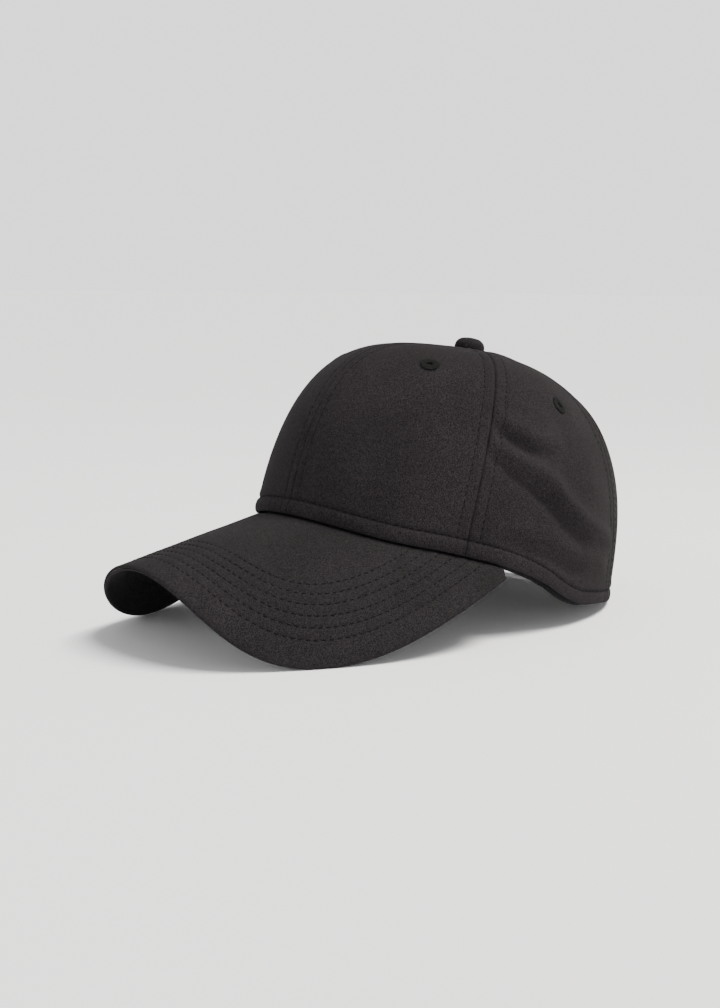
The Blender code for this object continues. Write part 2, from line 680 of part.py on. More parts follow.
def add_buckle(stand):
    """Flip-lever clasp: a channel for the strap, a hinge pin and a curved lever."""
    steel = cloth("buckle_metal", (0.30, 0.30, 0.31), 0.35, 1.0)
    low = STRAP_MID_HEIGHT - BUCKLE_HEIGHT / 2
    high = STRAP_MID_HEIGHT + BUCKLE_HEIGHT / 2
    floor_turns = (BUCKLE_TURNS[0] + FLOOR_INSET_TURN, BUCKLE_TURNS[1] - FLOOR_INSET_TURN)
    frame = prism("buckle_frame", band_outline(floor_turns, FLOOR_RADII, 6), low + CHEEK / 2,
                  high - CHEEK / 2, steel, stand)
    pin_turn = BUCKLE_TURNS[1] - BAR_TURN
    bar_turn = BUCKLE_TURNS[0] + BAR_TURN
    for name, foot in (("lower_cheek", low), ("upper_cheek", high - CHEEK)):
        outline = band_outline(BUCKLE_TURNS, CHEEK_RADII, 6)
        cheek = prism(name, outline, foot, foot + CHEEK, steel, stand)
        boolean(frame, cheek, "UNION")
    bar = prism("loop_bar", circle_outline(on_strap_circle(bar_turn, PIN_DISTANCE), BAR_RADIUS, 12),
                low + CHEEK / 2, high - CHEEK / 2, steel, stand)
    boolean(frame, bar, "UNION")
    pin_at = on_strap_circle(pin_turn, PIN_DISTANCE)
    bore = circle_outline(pin_at, PIN_HOLE_RADIUS, 16)
    hole = prism("pin_hole", bore, low - CHEEK, high + CHEEK, steel, stand)
    boolean(frame, hole, "DIFFERENCE")
    shank = circle_outline(pin_at, PIN_RADIUS, 16)
    prism("buckle_pin", shank, low + PIN_INSET, high - PIN_INSET, steel, stand)
    side = CHEEK + LEVER_SIDE_GAP
    add_lever(pin_at, pin_turn, low + side, high - side, steel, stand)


def add_lever(pin_at, pin_turn, low, high, steel, stand):
    """Lever with its barrel round the pin; its origin is on the pin's axis."""
    def local(points):
        return [(x - pin_at[0], y - pin_at[1]) for x, y in points]

    plate = local(band_outline((BUCKLE_TURNS[0] + LEVER_TIP_TURN, pin_turn), LEVER_RADII, 5))
    lever = prism("buckle_lever", plate, low, high, steel, stand)
    around = circle_outline((0, 0), LEVER_BARREL_RADIUS, 16)
    barrel = prism("lever_barrel", around, low, high, steel, stand)
    through = circle_outline((0, 0), PIN_HOLE_RADIUS, 16)
    bore = prism("lever_bore", through, low - CHEEK, high + CHEEK, steel, stand)
    for piece in (lever, barrel, bore):
        piece.location = Vector((pin_at[0], pin_at[1], 0)) * MM
    boolean(lever, barrel, "UNION")
    boolean(lever, bore, "DIFFERENCE")


# ---------------------------------------------------------------- whole cap

def build():
    for old in list(bpy.data.objects):
        bpy.data.objects.remove(old)
    stand = bpy.data.objects.new("stand", None)
    bpy.context.scene.collection.objects.link(stand)
    stand.rotation_euler = (-radians(REST_TIP), 0, 0)
    stand.location = Vector((0, REST_SHIFT, REST_LIFT)) * MM
    add_crown(stand)
    add_seam_tapes(stand)
    add_sweatband(stand)
    add_opening_facing(stand)
    add_button(stand)
    add_visor(stand)
    add_strap(stand)
    add_buckle(stand)


build()
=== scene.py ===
"""Looks of the baseball cap: cloth with its weave, seams, folds and thread.

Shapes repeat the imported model's own surfaces, in its level frame: millimetres and
degrees, the visor along -Y, the wearer's left side +X. A turn goes round the head from
the centre front (0) past the left side (90) to the centre back (180). A rise climbs the
crown from the hem (0) to the button (90). in_world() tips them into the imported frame.
"""

from math import cos, pi, radians, sin

import bmesh
import bpy
import numpy as np
from mathutils import Matrix, Vector


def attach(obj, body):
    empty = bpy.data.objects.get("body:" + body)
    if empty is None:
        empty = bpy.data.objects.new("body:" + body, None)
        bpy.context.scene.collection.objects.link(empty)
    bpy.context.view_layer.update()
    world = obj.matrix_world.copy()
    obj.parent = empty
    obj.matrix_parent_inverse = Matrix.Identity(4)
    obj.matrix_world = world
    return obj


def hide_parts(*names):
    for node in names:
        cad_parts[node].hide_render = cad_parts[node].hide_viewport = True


MM = 0.001

# Standing attitude: tip about X, and the level frame's origin over the table.
REST_TIP = 10.5
REST_LIFT = 11.9
REST_SHIFT = 36.5

# Crown: outer surface of the cloth.
HEM_HALF_WIDTH = 86.5
HEM_HALF_DEPTH = 103.5
HEM_EGG = 0.04
CROWN_HEIGHT = 122.5
TOP_SWELL = 2.1
TOP_SWELL_RADIUS = 28.0
ROUNDING = {"front": 0.53, "side": 0.60, "back": 0.84}
UPRIGHT = {"front": 0.93, "side": 0.88, "back": 0.74}
BULGE = {"front": -1.5, "side": -2.0, "back": 3.5}
PROW = 6.5
PROW_SPREAD = 25.0
PROW_FALL_OFF = 1.3

# Seams between the six panels.
SIDE_SEAM_AT_HEM = 58.7
SIDE_SEAM_AT_TOP = 68.0
BACK_SEAM = 124.0
TIP_RADIUS = 3.6

# Visor: an arch across the head, bent round a sloping line from the hem outwards.
VISOR_SLOPE = 20.6
VISOR_ROOT_HEIGHT = 25.5
ARCH_RADIUS = 92.0
ARCH_TIGHTENING = 0.56
ARCH_FLATNESS = 0.28
ARCH_REFERENCE = 100.0
ARCH_SMALLEST_RADIUS = 30.0
ARCH_STEPS = 24
VISOR_LENGTH = 86.5
VISOR_HALF_SPREAD = 112.0
VISOR_SQUARENESS = 3.0
VISOR_END_TURN = 72.0
VISOR_END_SHARE = 0.985
VISOR_COLUMN_SPACING = 1.5
VISOR_END_SHARPNESS = 8.5
VISOR_END_FADE = 30.0
VISOR_TUCK = 3.9
VISOR_EDGE_ROUND = 1.5
WIDEST_TURN_ON_VISOR = 88.0

# Hem: it follows the visor in front and settles to a level line behind.
HEM_LEAVES_VISOR = 46.5
HEM_SETTLES = 106.0
BACK_HEM_HEIGHT = 3.0
HEM_CLEARANCE = 1.1

# Opening at the back, an arch in turn and rise.
OPENING_HALF_TURN = 31.0
OPENING_RISE = 19.0

# Layers, as depths below the outer surface.
PANEL = (0.0, 0.9)
BUCKRAM = (1.4, 1.9)
FACING = (1.4, 1.9)
TAPE = (2.7, 3.1)
PADDING = (3.6, 4.3)
SWEATBAND = (4.8, 5.7)
VISOR_TOP_COVER = (0.0, 0.6)
VISOR_BOARD = (0.9, 2.1)
VISOR_UNDER_COVER = (2.4, 3.0)

# Sizes of the inside layers: heights over the hem in mm, turns in degrees.
INSIDE_START = 3.0
BUCKRAM_INSETS = (0.8, 2.0)
TAPE_WIDTH = 11.0
TAPE_TIP_RADIUS = 4.6
TAPE_MITRE_GAP = 0.4
TAPE_OVER_OPENING = 4.5
SWEATBAND_HEIGHT = 32.0
SWEATBAND_END_TURN = 131.0
SWEATBAND_SKIRT = 1.4
PADDING_END_TURN = 52.0
PADDING_HEIGHTS = (4.0, 15.0, 27.0)
FACING_TURN = 6.0
FACING_RISE = 3.6
FACING_START = 0.9

# Eyelets: turn and rise of the three on the left side.
EYELETS = {"front": (35.5, 59.0), "side": (97.0, 51.5), "back": (152.0, 53.0)}

# Button's cover: (radius, height) of its outside and inside, and its gap to the crown.
BUTTON_COVER = ((8.0, 6.0), (7.3, 5.3))
BUTTON_SEAT = 0.45

# Back strap: a band on a circle about an upright axis.
STRAP_AXIS_Y = 28.6
STRAP_RADII = (70.7, 71.6)
STRAP_MID_HEIGHT = 18.5
STRAP_WIDTH = 16.0
STRAP_END_TURNS = (-46.0, 46.0)

# ------------ surfaces

def smooth_step(t):
    t = np.clip(t, 0.0, 1.0)
    return t * t * (3.0 - 2.0 * t)


def round_the_head(values, turn):
    """A value that changes smoothly from front to side to back."""
    c = np.cos(np.radians(turn))
    end = np.where(c > 0, values["front"], values["back"])
    return values["side"] + (end - values["side"]) * np.abs(c)


def hem_plan(turn):
    t = np.radians(turn)
    x = HEM_HALF_WIDTH * np.sin(t) * (1 + HEM_EGG * np.cos(t))
    return x, -HEM_HALF_DEPTH * np.cos(t)


def arch(across, out):
    """Sideways reach and drop of the visor's arch, a length across from its middle."""
    radius = np.maximum(ARCH_RADIUS - ARCH_TIGHTENING * out, ARCH_SMALLEST_RADIUS)
    reach = np.zeros_like(across)
    drop = np.zeros_like(across)
    for i in range(ARCH_STEPS):
        s = across * (i + 0.5) / ARCH_STEPS / ARCH_REFERENCE
        lean = (1 - ARCH_FLATNESS) * s + ARCH_FLATNESS * s ** 3
        lean = lean * ARCH_REFERENCE / radius
        reach = reach + np.cos(lean) * across / ARCH_STEPS
        drop = drop - np.sin(lean) * across / ARCH_STEPS
    return reach, drop


def visor_from_pattern(across, out):
    """Visor's top surface from its flat pattern: a length across and a length out."""
    slope = radians(VISOR_SLOPE)
    reach, drop = arch(across, out)
    y = -HEM_HALF_DEPTH - out * cos(slope) - drop * sin(slope)
    z = VISOR_ROOT_HEIGHT - out * sin(slope) + drop * cos(slope)
    return np.stack([reach, y, z], axis=-1)


def pattern_under(x, y):
    """Place in the visor's flat pattern that lies at a given x and y."""
    slope = radians(VISOR_SLOPE)
    across = np.array(x, dtype=float)
    out = np.zeros_like(across)
    for _ in range(16):
        reach, drop = arch(across, out)
        across = across + (x - reach) * 1.1
        target = (-HEM_HALF_DEPTH - y - drop * sin(slope)) / cos(slope)
        out = 0.5 * (out + target)
    return across, out


def hem_height(turn):
    """Height of the hem, which is also the visor's height where they meet."""
    away = np.abs((np.asarray(turn, dtype=float) + 180.0) % 360.0 - 180.0)
    near = hem_plan(np.minimum(away, WIDEST_TURN_ON_VISOR))
    on_visor = visor_from_pattern(*pattern_under(*near))[..., 2]
    level = BACK_HEM_HEIGHT * (1 - np.cos(np.radians(away))) / 2
    settled = smooth_step((away - HEM_LEAVES_VISOR) / (HEM_SETTLES - HEM_LEAVES_VISOR))
    return on_visor * (1 - settled) + level * settled


def crown_surface(turn, rise):
    """Outer surface of the crown's cloth."""
    up = np.radians(rise)
    x, y = hem_plan(turn)
    base = hem_height(turn) + HEM_CLEARANCE
    shrink = np.cos(up) ** round_the_head(ROUNDING, turn)
    climb = np.sin(up) ** round_the_head(UPRIGHT, turn)
    away = np.abs((turn + 180.0) % 360.0 - 180.0)
    prow = PROW * np.exp(-(away / PROW_SPREAD) ** PROW_FALL_OFF) * np.sin(up) ** 2 * np.cos(up)
    swell = round_the_head(BULGE, turn) * np.sin(2 * up) + prow
    plan = np.hypot(x, y)
    px = x * shrink + x / plan * swell
    py = y * shrink + y / plan * swell
    top = TOP_SWELL * np.exp(-(px ** 2 + py ** 2) / TOP_SWELL_RADIUS ** 2)
    return np.stack([px, py, base + (CROWN_HEIGHT - base) * climb + top], axis=-1)


def rise_at_radius(turn, radius):
    """Rise at which the crown has closed in to a given plan radius."""
    x, y = hem_plan(turn)
    shrink = np.minimum(radius / np.hypot(x, y), 1.0)
    return np.degrees(np.arccos(shrink ** (1 / round_the_head(ROUNDING, turn))))


def rise_at_height(turn, height):
    """Rise at which the crown stands a given height over its hem."""
    base = hem_height(turn) + HEM_CLEARANCE
    climb = np.clip(height / (CROWN_HEIGHT - base), 0.0, 1.0)
    return np.degrees(np.arcsin(climb ** (1 / round_the_head(UPRIGHT, turn))))


def climbing_rows(turn, start, end, count):
    """Rises from start to end, spaced evenly along the crown."""
    power = 1 / round_the_head(ROUNDING, turn)
    last = 1 - ((90 - end) / (90 - start)) ** (1 / power)
    t = np.linspace(0, 1, count)
    left = np.clip(1 - t * last[..., None], 0.0, 1.0)
    return 90 - (90 - start)[..., None] * left ** power[..., None]


def side_seam(rise):
    """Turn of the seam between the front and the side panel."""
    return SIDE_SEAM_AT_HEM + (SIDE_SEAM_AT_TOP - SIDE_SEAM_AT_HEM) * rise / 90


def opening_edge(turn):
    """Rise of the back opening's arch, or 0 beside it."""
    across = np.clip((180 - turn) / OPENING_HALF_TURN, 0.0, 1.0)
    return OPENING_RISE * np.sqrt(1 - across ** 2)


def grid_normals(points, outwards):
    """Unit normals of a grid of points, on the side that the given vector points to."""
    along = np.gradient(points, axis=0)
    up = np.gradient(points, axis=1)
    normals = np.cross(along, up)
    normals /= np.linalg.norm(normals, axis=-1, keepdims=True)
    middle = normals[normals.shape[0] // 2, normals.shape[1] // 2]
    return normals if middle @ np.array(outwards) > 0 else -normals


# ------------ looks

# Camera and lights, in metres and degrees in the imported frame.
CAMERA_PLACE = (0.5713, -0.4798, 0.1666)
CAMERA_AZIMUTH = 49.64
CAMERA_ELEVATION = 7.23
CAMERA_ROLL = 0.59
CAMERA_LENS = 52.36
CAMERA_SHIFT = (-0.0311, -0.0295)

FLOOR_COLOR = (0.95, 0.95, 0.95)
FLOOR_HALF = 40.0
FLOOR_DROP = 0.0002
SKY = {"near": 1.75, "overhead": 0.50, "fade_from": 0.24, "fade_to": 0.40}
SUN = {"from": (0.30, 0.28, 1.0), "power": 4.6, "spread": 28, "color": (1.0, 0.975, 0.95)}
LIGHTS = {
    "top": ((0.30, 0.40, 0.95), (0.03, 0.03, 0.12), 0.25, 6, (1.0, 0.94, 0.86)),
    "front": ((-0.5, -2.2, 0.9), (0, 0, 0.06), 1.6, 7, (0.98, 0.99, 1.0)),
    "low": ((1.3, -1.1, 0.16), (0, 0, 0.04), 0.3, 4, (1.0, 1.0, 1.0)),
}

# Thread: each stitch sinks into the cloth at its ends.
STITCH = {"length": 2.4, "gap": 1.2, "radius": 0.27, "flatness": 0.8, "sink": 0.28}
STITCH_SIDES = 6
STITCH_RINGS = 7
SEAM_STITCH_DISTANCE = 5.5
VISOR_STITCH_ROWS = [12.2 + 5.4 * i for i in range(6)]
VISOR_STITCH_DEPTH = 0.22

# Relief of the cloth: bells of (height, distance from the seam or stitch row, width).
SEAM_RELIEF = [(-0.75, 0.0, 0.45), (0.20, 2.4, 1.6), (-0.36, 5.5, 0.6)]
STITCH_ROW_RELIEF = [(-0.36, 0.0, 0.65), (0.08, 2.7, 1.2)]
ABOVE_HEM_RELIEF = [(-0.62, 0.3, 0.7), (0.25, 2.6, 1.6)]
EYELET_DENT = (-0.35, 0.0, 6.0)
STITCHES_OVER_HEM = 0.4
SEAM_STITCHES_FROM_HEM = 9.0
SEAM_STITCHES_FROM_TOP = 11.0

# Hem's roll: (size in front, loss towards the back, degrees of turn that the loss takes).
HEM_CHANGES_AT = 60
HEM_TOP = (7.4, 1.6, 60)
HEM_PUFF = (1.15, 0.75, 32)
HEM_PUCKERS = [(0.10, 41, 0), (0.08, 97, 1)]

# Unevenness of the cloth, and how far from the seams and the hem it has grown in full.
WAVE_HEIGHT = 0.55
WAVES_FROM_SEAM = 9
WAVES_FROM_HEM = 14
VISOR_WAVE_HEIGHT = 0.10
SOFTNESS = {"front": 0.35, "side": 1.0, "back": 0.9}
WAVE_SEEDS = {"front": 3, "side": 5, "back": 8}
RIGHT_SEED_STEP = 20
VISOR_SEED = 11
RIGHT_FOLD_SHIFT = 5.0

# Inside layers: curls of their long edges, and relief of the sweatband.
BUCKRAM_TOP_RADIUS = 10.0
TAPE_CURL = 0.25
PADDING_CURL = 0.5
FACING_CURL = 0.2
SWEATBAND_RELIEF = [(0.30, 5.5, 3), (0.35, 16, 8), (-0.25, 9, 1.0)]
SWEATBAND_EDGES = [(0.30, -SWEATBAND_SKIRT, 0.9), (0.35, SWEATBAND_HEIGHT, 1.2)]
SWEATBAND_WAVE = (0.18, 23, 20, 12)
SWEATBAND_STITCH_ROWS = (9, 27)

# Eyelet cords, the button's gathers, the visor's edge and the strap's stitch lines.
EYELET_CORD = {"threads": 28, "radius": 2.9, "half_width": 1.65, "half_height": 0.42, "lift": 0.10}
EYELET_RIB = 0.22
BUTTON_GATHERS = 17
BUTTON_GATHER_DEPTH = 0.012
BOARD_START = 0.6
VISOR_DENT_SHARE = 0.8
VISOR_EDGE_ANGLES = np.arange(78, 0, -12)
VISOR_EDGE_UV = (0.3, 2.2)
STRAP_EDGE_THINNING = 0.28
STRAP_STITCH_LINE = (0.12, 0.76, 0.06)
STRAP_STITCH_ROWS = (2, 14)

# Fine grids: points along and across, and in a panel the rows near its hem (mm) and above.
GRIDS = {
    "tape": (70, 9), "buckram": (30, 50), "sweatband": (260, 30), "padding": (70, 12),
    "facing": (110, 9), "visor": (221, 120), "strap": (120, 17), "eyelet": (168, 14),
    "button": (72, 22),
}
VISOR_OUTLINE_POINTS = 361
VISOR_ROOT_POINTS = 241
COLUMN_EASE = (0.55, 1.82)
PANEL_GRID_COLUMNS = 96
ROWS_NEAR_HEM = np.linspace(0, 10.5, 22)
ROWS_ABOVE = np.linspace(0, 1, 76)[1:]
BACK_COLUMNS_BESIDE = 26
BACK_COLUMNS_AROUND = 44

# Materials: cloths, then (color, roughness, pit scale, bump), then (color, roughness).
CLOTHS = {
    "crown_cloth": {"color": (0.0170, 0.0150, 0.0160)},
    "visor_cloth": {"color": (0.0165, 0.0150, 0.0158)},
    "strap_cloth": {"color": (0.0170, 0.0150, 0.0160)},
    "tape": {"color": (0.022, 0.021, 0.022), "pitch": 0.9, "angles": (0, 90), "bump": 0.15},
    "sweatband_cloth": {"color": (0.013, 0.0125, 0.0135), "pitch": 0.7, "angles": (0, 90)},
    "buckram": {"color": (0.035, 0.034, 0.036), "pitch": 1.3, "angles": (0, 90), "bump": 0.30,
                "fade": 0.1, "grain": 0.3, "sheen": 0.02},
    # Thread is coloured darker than the cloth as painted shade: its dark dashes stand in for the shade in
    # the dents along the stitch rows.
    "thread": {"color": (0.0070, 0.0064, 0.0068), "pitch": 0.35, "angles": (35,), "bump": 0.05,
               "fade": 0.1, "grain": 0.3, "sheen": 0.04},
    "eyelet_thread": {"color": (0.0085, 0.0092, 0.0084), "pitch": 0.4, "angles": (90,), "bump": 0.06,
                      "fade": 0.1, "sheen": 0.02},
}
PITTED = {
    "padding_foam": ((0.30, 0.30, 0.29), 0.9, 700, 0.25),
    "visor_board": ((0.35, 0.34, 0.31), 0.6, 300, 0.05),
}
METALS = {
    "button_metal": ((0.28, 0.28, 0.29), 0.4),
    "buckle_metal": ((0.32, 0.31, 0.30), 0.32),
}
CAD_LOOKS = {
    "buckle_frame": "buckle_metal", "buckle_lever": "buckle_metal", "buckle_pin": "buckle_metal",
    "button_shell": "button_metal", "button_rivet": "button_metal", "strap_loop": "strap_cloth",
}

# Folds of the soft side panel: points of (turn, rise), height and width.
FOLDS = [
    ([(62, 42), (67, 38), (73, 35.5), (80, 35), (88, 37)], 3.0, 5.6),
    ([(64, 37), (69, 33), (76, 30.5), (84, 30.5)], -2.7, 4.0),
    ([(60, 31), (68, 28), (75, 26), (85, 23.5), (92, 19.5), (104, 15.7), (117, 12)], 3.7, 5.8),
    ([(63, 27), (70, 23.5), (78, 20.5), (88, 16.3), (100, 12.3)], -3.0, 4.2),
    ([(72, 8.5), (82, 9.5), (92, 9.2), (104, 8.3), (114, 7)], 1.5, 4.6),
    ([(70, 4.6), (78, 4.5), (90, 4.8), (100, 5)], -1.4, 3.2),
]


def in_world(points):
    """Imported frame's metres from the cap's level millimetres; nothing goes under the table."""
    tip = radians(REST_TIP)
    y = points[..., 1] * cos(tip) + points[..., 2] * sin(tip) + REST_SHIFT
    z = -points[..., 1] * sin(tip) + points[..., 2] * cos(tip) + REST_LIFT
    return np.stack([points[..., 0], y, np.maximum(z, 0.0)], axis=-1) * MM


def mirror(points):
    return points * np.array([-1.0, 1.0, 1.0])


# ------------ materials

def new_material(name, color, roughness, metallic=0.0):
    material = bpy.data.materials.new(name)
    material.use_nodes = True
    shader = material.node_tree.nodes["Principled BSDF"]
    shader.inputs["Base Color"].default_value = (*color, 1.0)
    shader.inputs["Roughness"].default_value = roughness
    shader.inputs["Metallic"].default_value = metallic
    return material, material.node_tree, shader


def add_node(tree, kind, **values):
    node = tree.nodes.new(kind)
    for key, value in values.items():
        if key in node.inputs:
            node.inputs[key].default_value = value
        else:
            setattr(node, key, value)
    return node


def noise(tree, where, scale, detail=3.0):
    node = add_node(tree, "ShaderNodeTexNoise", Scale=scale, Detail=detail)
    tree.links.new(where.outputs["Object"], node.inputs["Vector"])
    return node.outputs["Fac"]


def remapped(tree, value, low, high, start=0.3, end=0.7):
    """Value mapped from start..end to low..high."""
    node = add_node(tree, "ShaderNodeMapRange")
    for key, number in zip(("From Min", "From Max", "To Min", "To Max"), (start, end, low, high)):
        node.inputs[key].default_value = number
    tree.links.new(value, node.inputs["Value"])
    return node.outputs["Result"]


def calculated(tree, operation, a, b):
    node = add_node(tree, "ShaderNodeMath", operation=operation)
    for socket, value in zip(node.inputs, (a, b)):
        if isinstance(value, (int, float)):
            socket.default_value = value
        else:
            tree.links.new(value, socket)
    return node.outputs["Value"]


def tint_with(tree, shader, color, shade):
    tint = add_node(tree, "ShaderNodeVectorMath", operation="SCALE")
    tint.inputs[0].default_value = color
    tree.links.new(shade, tint.inputs["Scale"])
    tree.links.new(tint.outputs["Vector"], shader.inputs["Base Color"])


def bump_with(tree, shader, height, strength, distance):
    relief = add_node(tree, "ShaderNodeBump", Strength=strength, Distance=distance * MM)
    tree.links.new(height, relief.inputs["Height"])
    tree.links.new(relief.outputs["Normal"], shader.inputs["Normal"])


def weave_lines(tree, place, angle, pitch):
    """Ribs across a cloth's own UV, which is in millimetres."""
    turned = add_node(tree, "ShaderNodeMapping")
    turned.inputs["Rotation"].default_value = (0, 0, radians(angle))
    tree.links.new(place.outputs["UV"], turned.inputs["Vector"])
    wave = add_node(tree, "ShaderNodeTexWave", Scale=2 * pi / pitch / 20, Distortion=1.2, Detail=1.0)
    wave.inputs["Detail Scale"].default_value = 3.0
    tree.links.new(turned.outputs["Vector"], wave.inputs["Vector"])
    return wave.outputs["Fac"]


def cloth(name, color, pitch=0.55, angles=(62,), bump=0.12, fade=0.12, grain=0.50, sheen=0.008):
    """Woven cloth: ribs of a pitch and bump in mm, a grain of fibres, and slow changes of shade."""
    material, tree, shader = new_material(name, color, 0.88)
    shader.inputs["Sheen Weight"].default_value = sheen
    shader.inputs["Sheen Roughness"].default_value = 0.45
    shader.inputs["Specular IOR Level"].default_value = 0.03
    place = add_node(tree, "ShaderNodeTexCoord")
    ribs = weave_lines(tree, place, angles[0], pitch)
    for angle in angles[1:]:
        ribs = calculated(tree, "MULTIPLY", ribs, weave_lines(tree, place, angle, pitch))
    fibres = noise(tree, place, 2000.0, 4.0)
    slubs = noise(tree, place, 600.0, 3.0)
    slow = noise(tree, place, 28.0, 3.0)
    shade = remapped(tree, fibres, 1 - grain, 1 + grain, 0.38, 0.62)
    shade = calculated(tree, "MULTIPLY", shade, remapped(tree, slubs, 1 - grain / 4, 1 + grain / 4))
    shade = calculated(tree, "MULTIPLY", shade, remapped(tree, slow, 1 - fade, 1 + fade))
    shade = calculated(tree, "MULTIPLY", shade, remapped(tree, ribs, 0.80, 1.15, 0.0, 1.0))
    tint_with(tree, shader, color, shade)
    tree.links.new(remapped(tree, slubs, 0.80, 0.95), shader.inputs["Roughness"])
    height = calculated(tree, "ADD", ribs, calculated(tree, "MULTIPLY", fibres, 1.2))
    bump_with(tree, shader, height, 0.7, bump)
    return material


def metal(name, color, roughness):
    """Brushed plated steel with fine scratches and slightly uneven gloss."""
    material, tree, shader = new_material(name, color, roughness, 1.0)
    place = add_node(tree, "ShaderNodeTexCoord")
    stretched = add_node(tree, "ShaderNodeMapping")
    stretched.inputs["Scale"].default_value = (200, 200, 4000)
    tree.links.new(place.outputs["Object"], stretched.inputs["Vector"])
    scratches = add_node(tree, "ShaderNodeTexNoise", Scale=1.0, Detail=4.0)
    tree.links.new(stretched.outputs["Vector"], scratches.inputs["Vector"])
    tree.links.new(remapped(tree, scratches.outputs["Fac"], roughness - 0.08, roughness + 0.15),
                   shader.inputs["Roughness"])
    bump_with(tree, shader, scratches.outputs["Fac"], 0.25, 0.02)
    return material


def speckled(name, color, roughness, scale, bump):
    """Foam or board: an even colour with a fine pitted surface."""
    material, tree, shader = new_material(name, color, roughness)
    place = add_node(tree, "ShaderNodeTexCoord")
    pits = noise(tree, place, scale, 5.0)
    shade = remapped(tree, pits, 0.75, 1.15)
    tint_with(tree, shader, color, shade)
    bump_with(tree, shader, pits, 0.6, bump)
    return material


def all_materials():
    made = {name: cloth(name, **look) for name, look in CLOTHS.items()}
    made.update({name: speckled(name, *look) for name, look in PITTED.items()})
    made.update({name: metal(name, *look) for name, look in METALS.items()})
    return made


# ------------ mesh building

def new_object(name, data):
    thing = bpy.data.objects.new(name, data)
    bpy.context.scene.collection.objects.link(thing)
    return thing


def add_piece(name, mesh, materials, slot, nodes=(), body="cap", look=None):
    """A visible piece that rides on a body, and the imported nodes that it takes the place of."""
    piece = new_object(name, mesh)
    mesh.materials.append(materials[look or slot])
    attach(piece, body)
    if nodes:
        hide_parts(*nodes)
    return piece


def mesh_from(name, points, faces, uv, sharp=50):
    mesh = bpy.data.meshes.new(name)
    mesh.from_pydata(points.reshape(-1, 3).tolist(), [], faces)
    mesh.validate()
    layer = mesh.uv_layers.new(name="UVMap")
    corners = np.empty(len(mesh.loops), dtype=np.int32)
    mesh.loops.foreach_get("vertex_index", corners)
    layer.data.foreach_set("uv", uv.reshape(-1, 2)[corners].astype(np.float32).ravel())
    mesh.shade_smooth()
    mesh.set_sharp_from_angle(angle=radians(sharp))
    return mesh


def solid_faces(columns, rows):
    """Quads of a closed solid between two grids, the second grid's points after the first's."""
    front = np.arange(columns * rows).reshape(columns, rows)
    back = front + columns * rows

    def quads(a, b, c, d):
        return np.stack([a.ravel(), b.ravel(), c.ravel(), d.ravel()], axis=1)

    parts = [quads(front[:-1, :-1], front[1:, :-1], front[1:, 1:], front[:-1, 1:]),
             quads(back[:-1, :-1], back[:-1, 1:], back[1:, 1:], back[1:, :-1]),
             quads(front[:-1, 0], back[:-1, 0], back[1:, 0], front[1:, 0]),
             quads(front[1:, -1], back[1:, -1], back[:-1, -1], front[:-1, -1]),
             quads(front[0, 1:], back[0, 1:], back[0, :-1], front[0, :-1]),
             quads(front[-1, :-1], back[-1, :-1], back[-1, 1:], front[-1, 1:])]
    return np.concatenate(parts)


def solid(name, outer, inner, uv, mirrored=False):
    """Closed mesh between two grids of level millimetres, its faces pointing outwards."""
    if mirrored:
        outer, inner = mirror(outer), mirror(inner)
    faces = solid_faces(*outer.shape[:2])
    points = np.concatenate([in_world(outer).reshape(-1, 3), in_world(inner).reshape(-1, 3)])
    corner = points[faces]
    volume = np.sum(np.cross(corner[:, 0], corner[:, 1]) * corner[:, 2])
    volume += np.sum(np.cross(corner[:, 0], corner[:, 2]) * corner[:, 3])
    if volume < 0:
        faces = faces[:, ::-1]
    both = np.concatenate([uv.reshape(-1, 2), uv.reshape(-1, 2)])
    return mesh_from(name, points, faces.tolist(), both)


def circle(count):
    """Angles of points spaced evenly round a circle."""
    return np.arange(count) * 2 * pi / count


def unit(vectors):
    return vectors / np.linalg.norm(vectors, axis=-1, keepdims=True)


def lengths_along(points):
    """Distance of each point from the first one, along its path."""
    steps = np.linalg.norm(np.diff(points, axis=0), axis=-1)
    return np.concatenate([np.zeros_like(steps[:1]), np.cumsum(steps, axis=0)])


def between(wanted, known, values):
    """Rows of values at wanted places between the known ones."""
    return np.stack([np.interp(wanted, known, column) for column in values.T], axis=-1)


def thread_row(points, normals, raised):
    """One row of stitches along a path: stitch by stitch, ring by ring, side by side."""
    lengths = lengths_along(points)
    count = max(2, int(lengths[-1] / (STITCH["length"] + STITCH["gap"])))
    middle = (np.arange(count) + 0.5) * lengths[-1] / count
    normal = unit(between(middle, lengths, normals))
    along = between(middle + 0.5, lengths, points) - between(middle - 0.5, lengths, points)
    along = unit(along - normal * np.sum(along * normal, axis=1, keepdims=True))
    side = np.cross(along, normal)
    rings = []
    for a in np.linspace(0, pi, STITCH_RINGS):
        lift = raised - STITCH["sink"] * abs(cos(a)) ** 3
        centre = between(middle, lengths, points) - along * (cos(a) * STITCH["length"] / 2) + normal * lift
        thick = STITCH["radius"] * sin(a) ** 0.5
        ring = []
        for b in circle(STITCH_SIDES):
            ring.append(centre + thick * (side * cos(b) + normal * STITCH["flatness"] * sin(b)))
        rings.append(ring)
    return np.moveaxis(np.array(rings), 2, 0)


def stitches(rows, name, materials, slot, raised, body="cap"):
    """Rows of thread: one small rounded stitch after another along each (points, normals)."""
    thread = np.concatenate([thread_row(points, normals, raised) for points, normals in rows])
    ids = np.arange(thread[..., 0].size).reshape(thread.shape[:3])
    beside = np.roll(ids, -1, axis=2)
    quads = np.stack([ids[:, :-1], beside[:, :-1], beside[:, 1:], ids[:, 1:]], axis=-1)
    mesh = thread_mesh(name, in_world(thread.reshape(-1, 3)), quads.reshape(-1, 4))
    add_piece(name, mesh, materials, slot, body=body, look="thread")


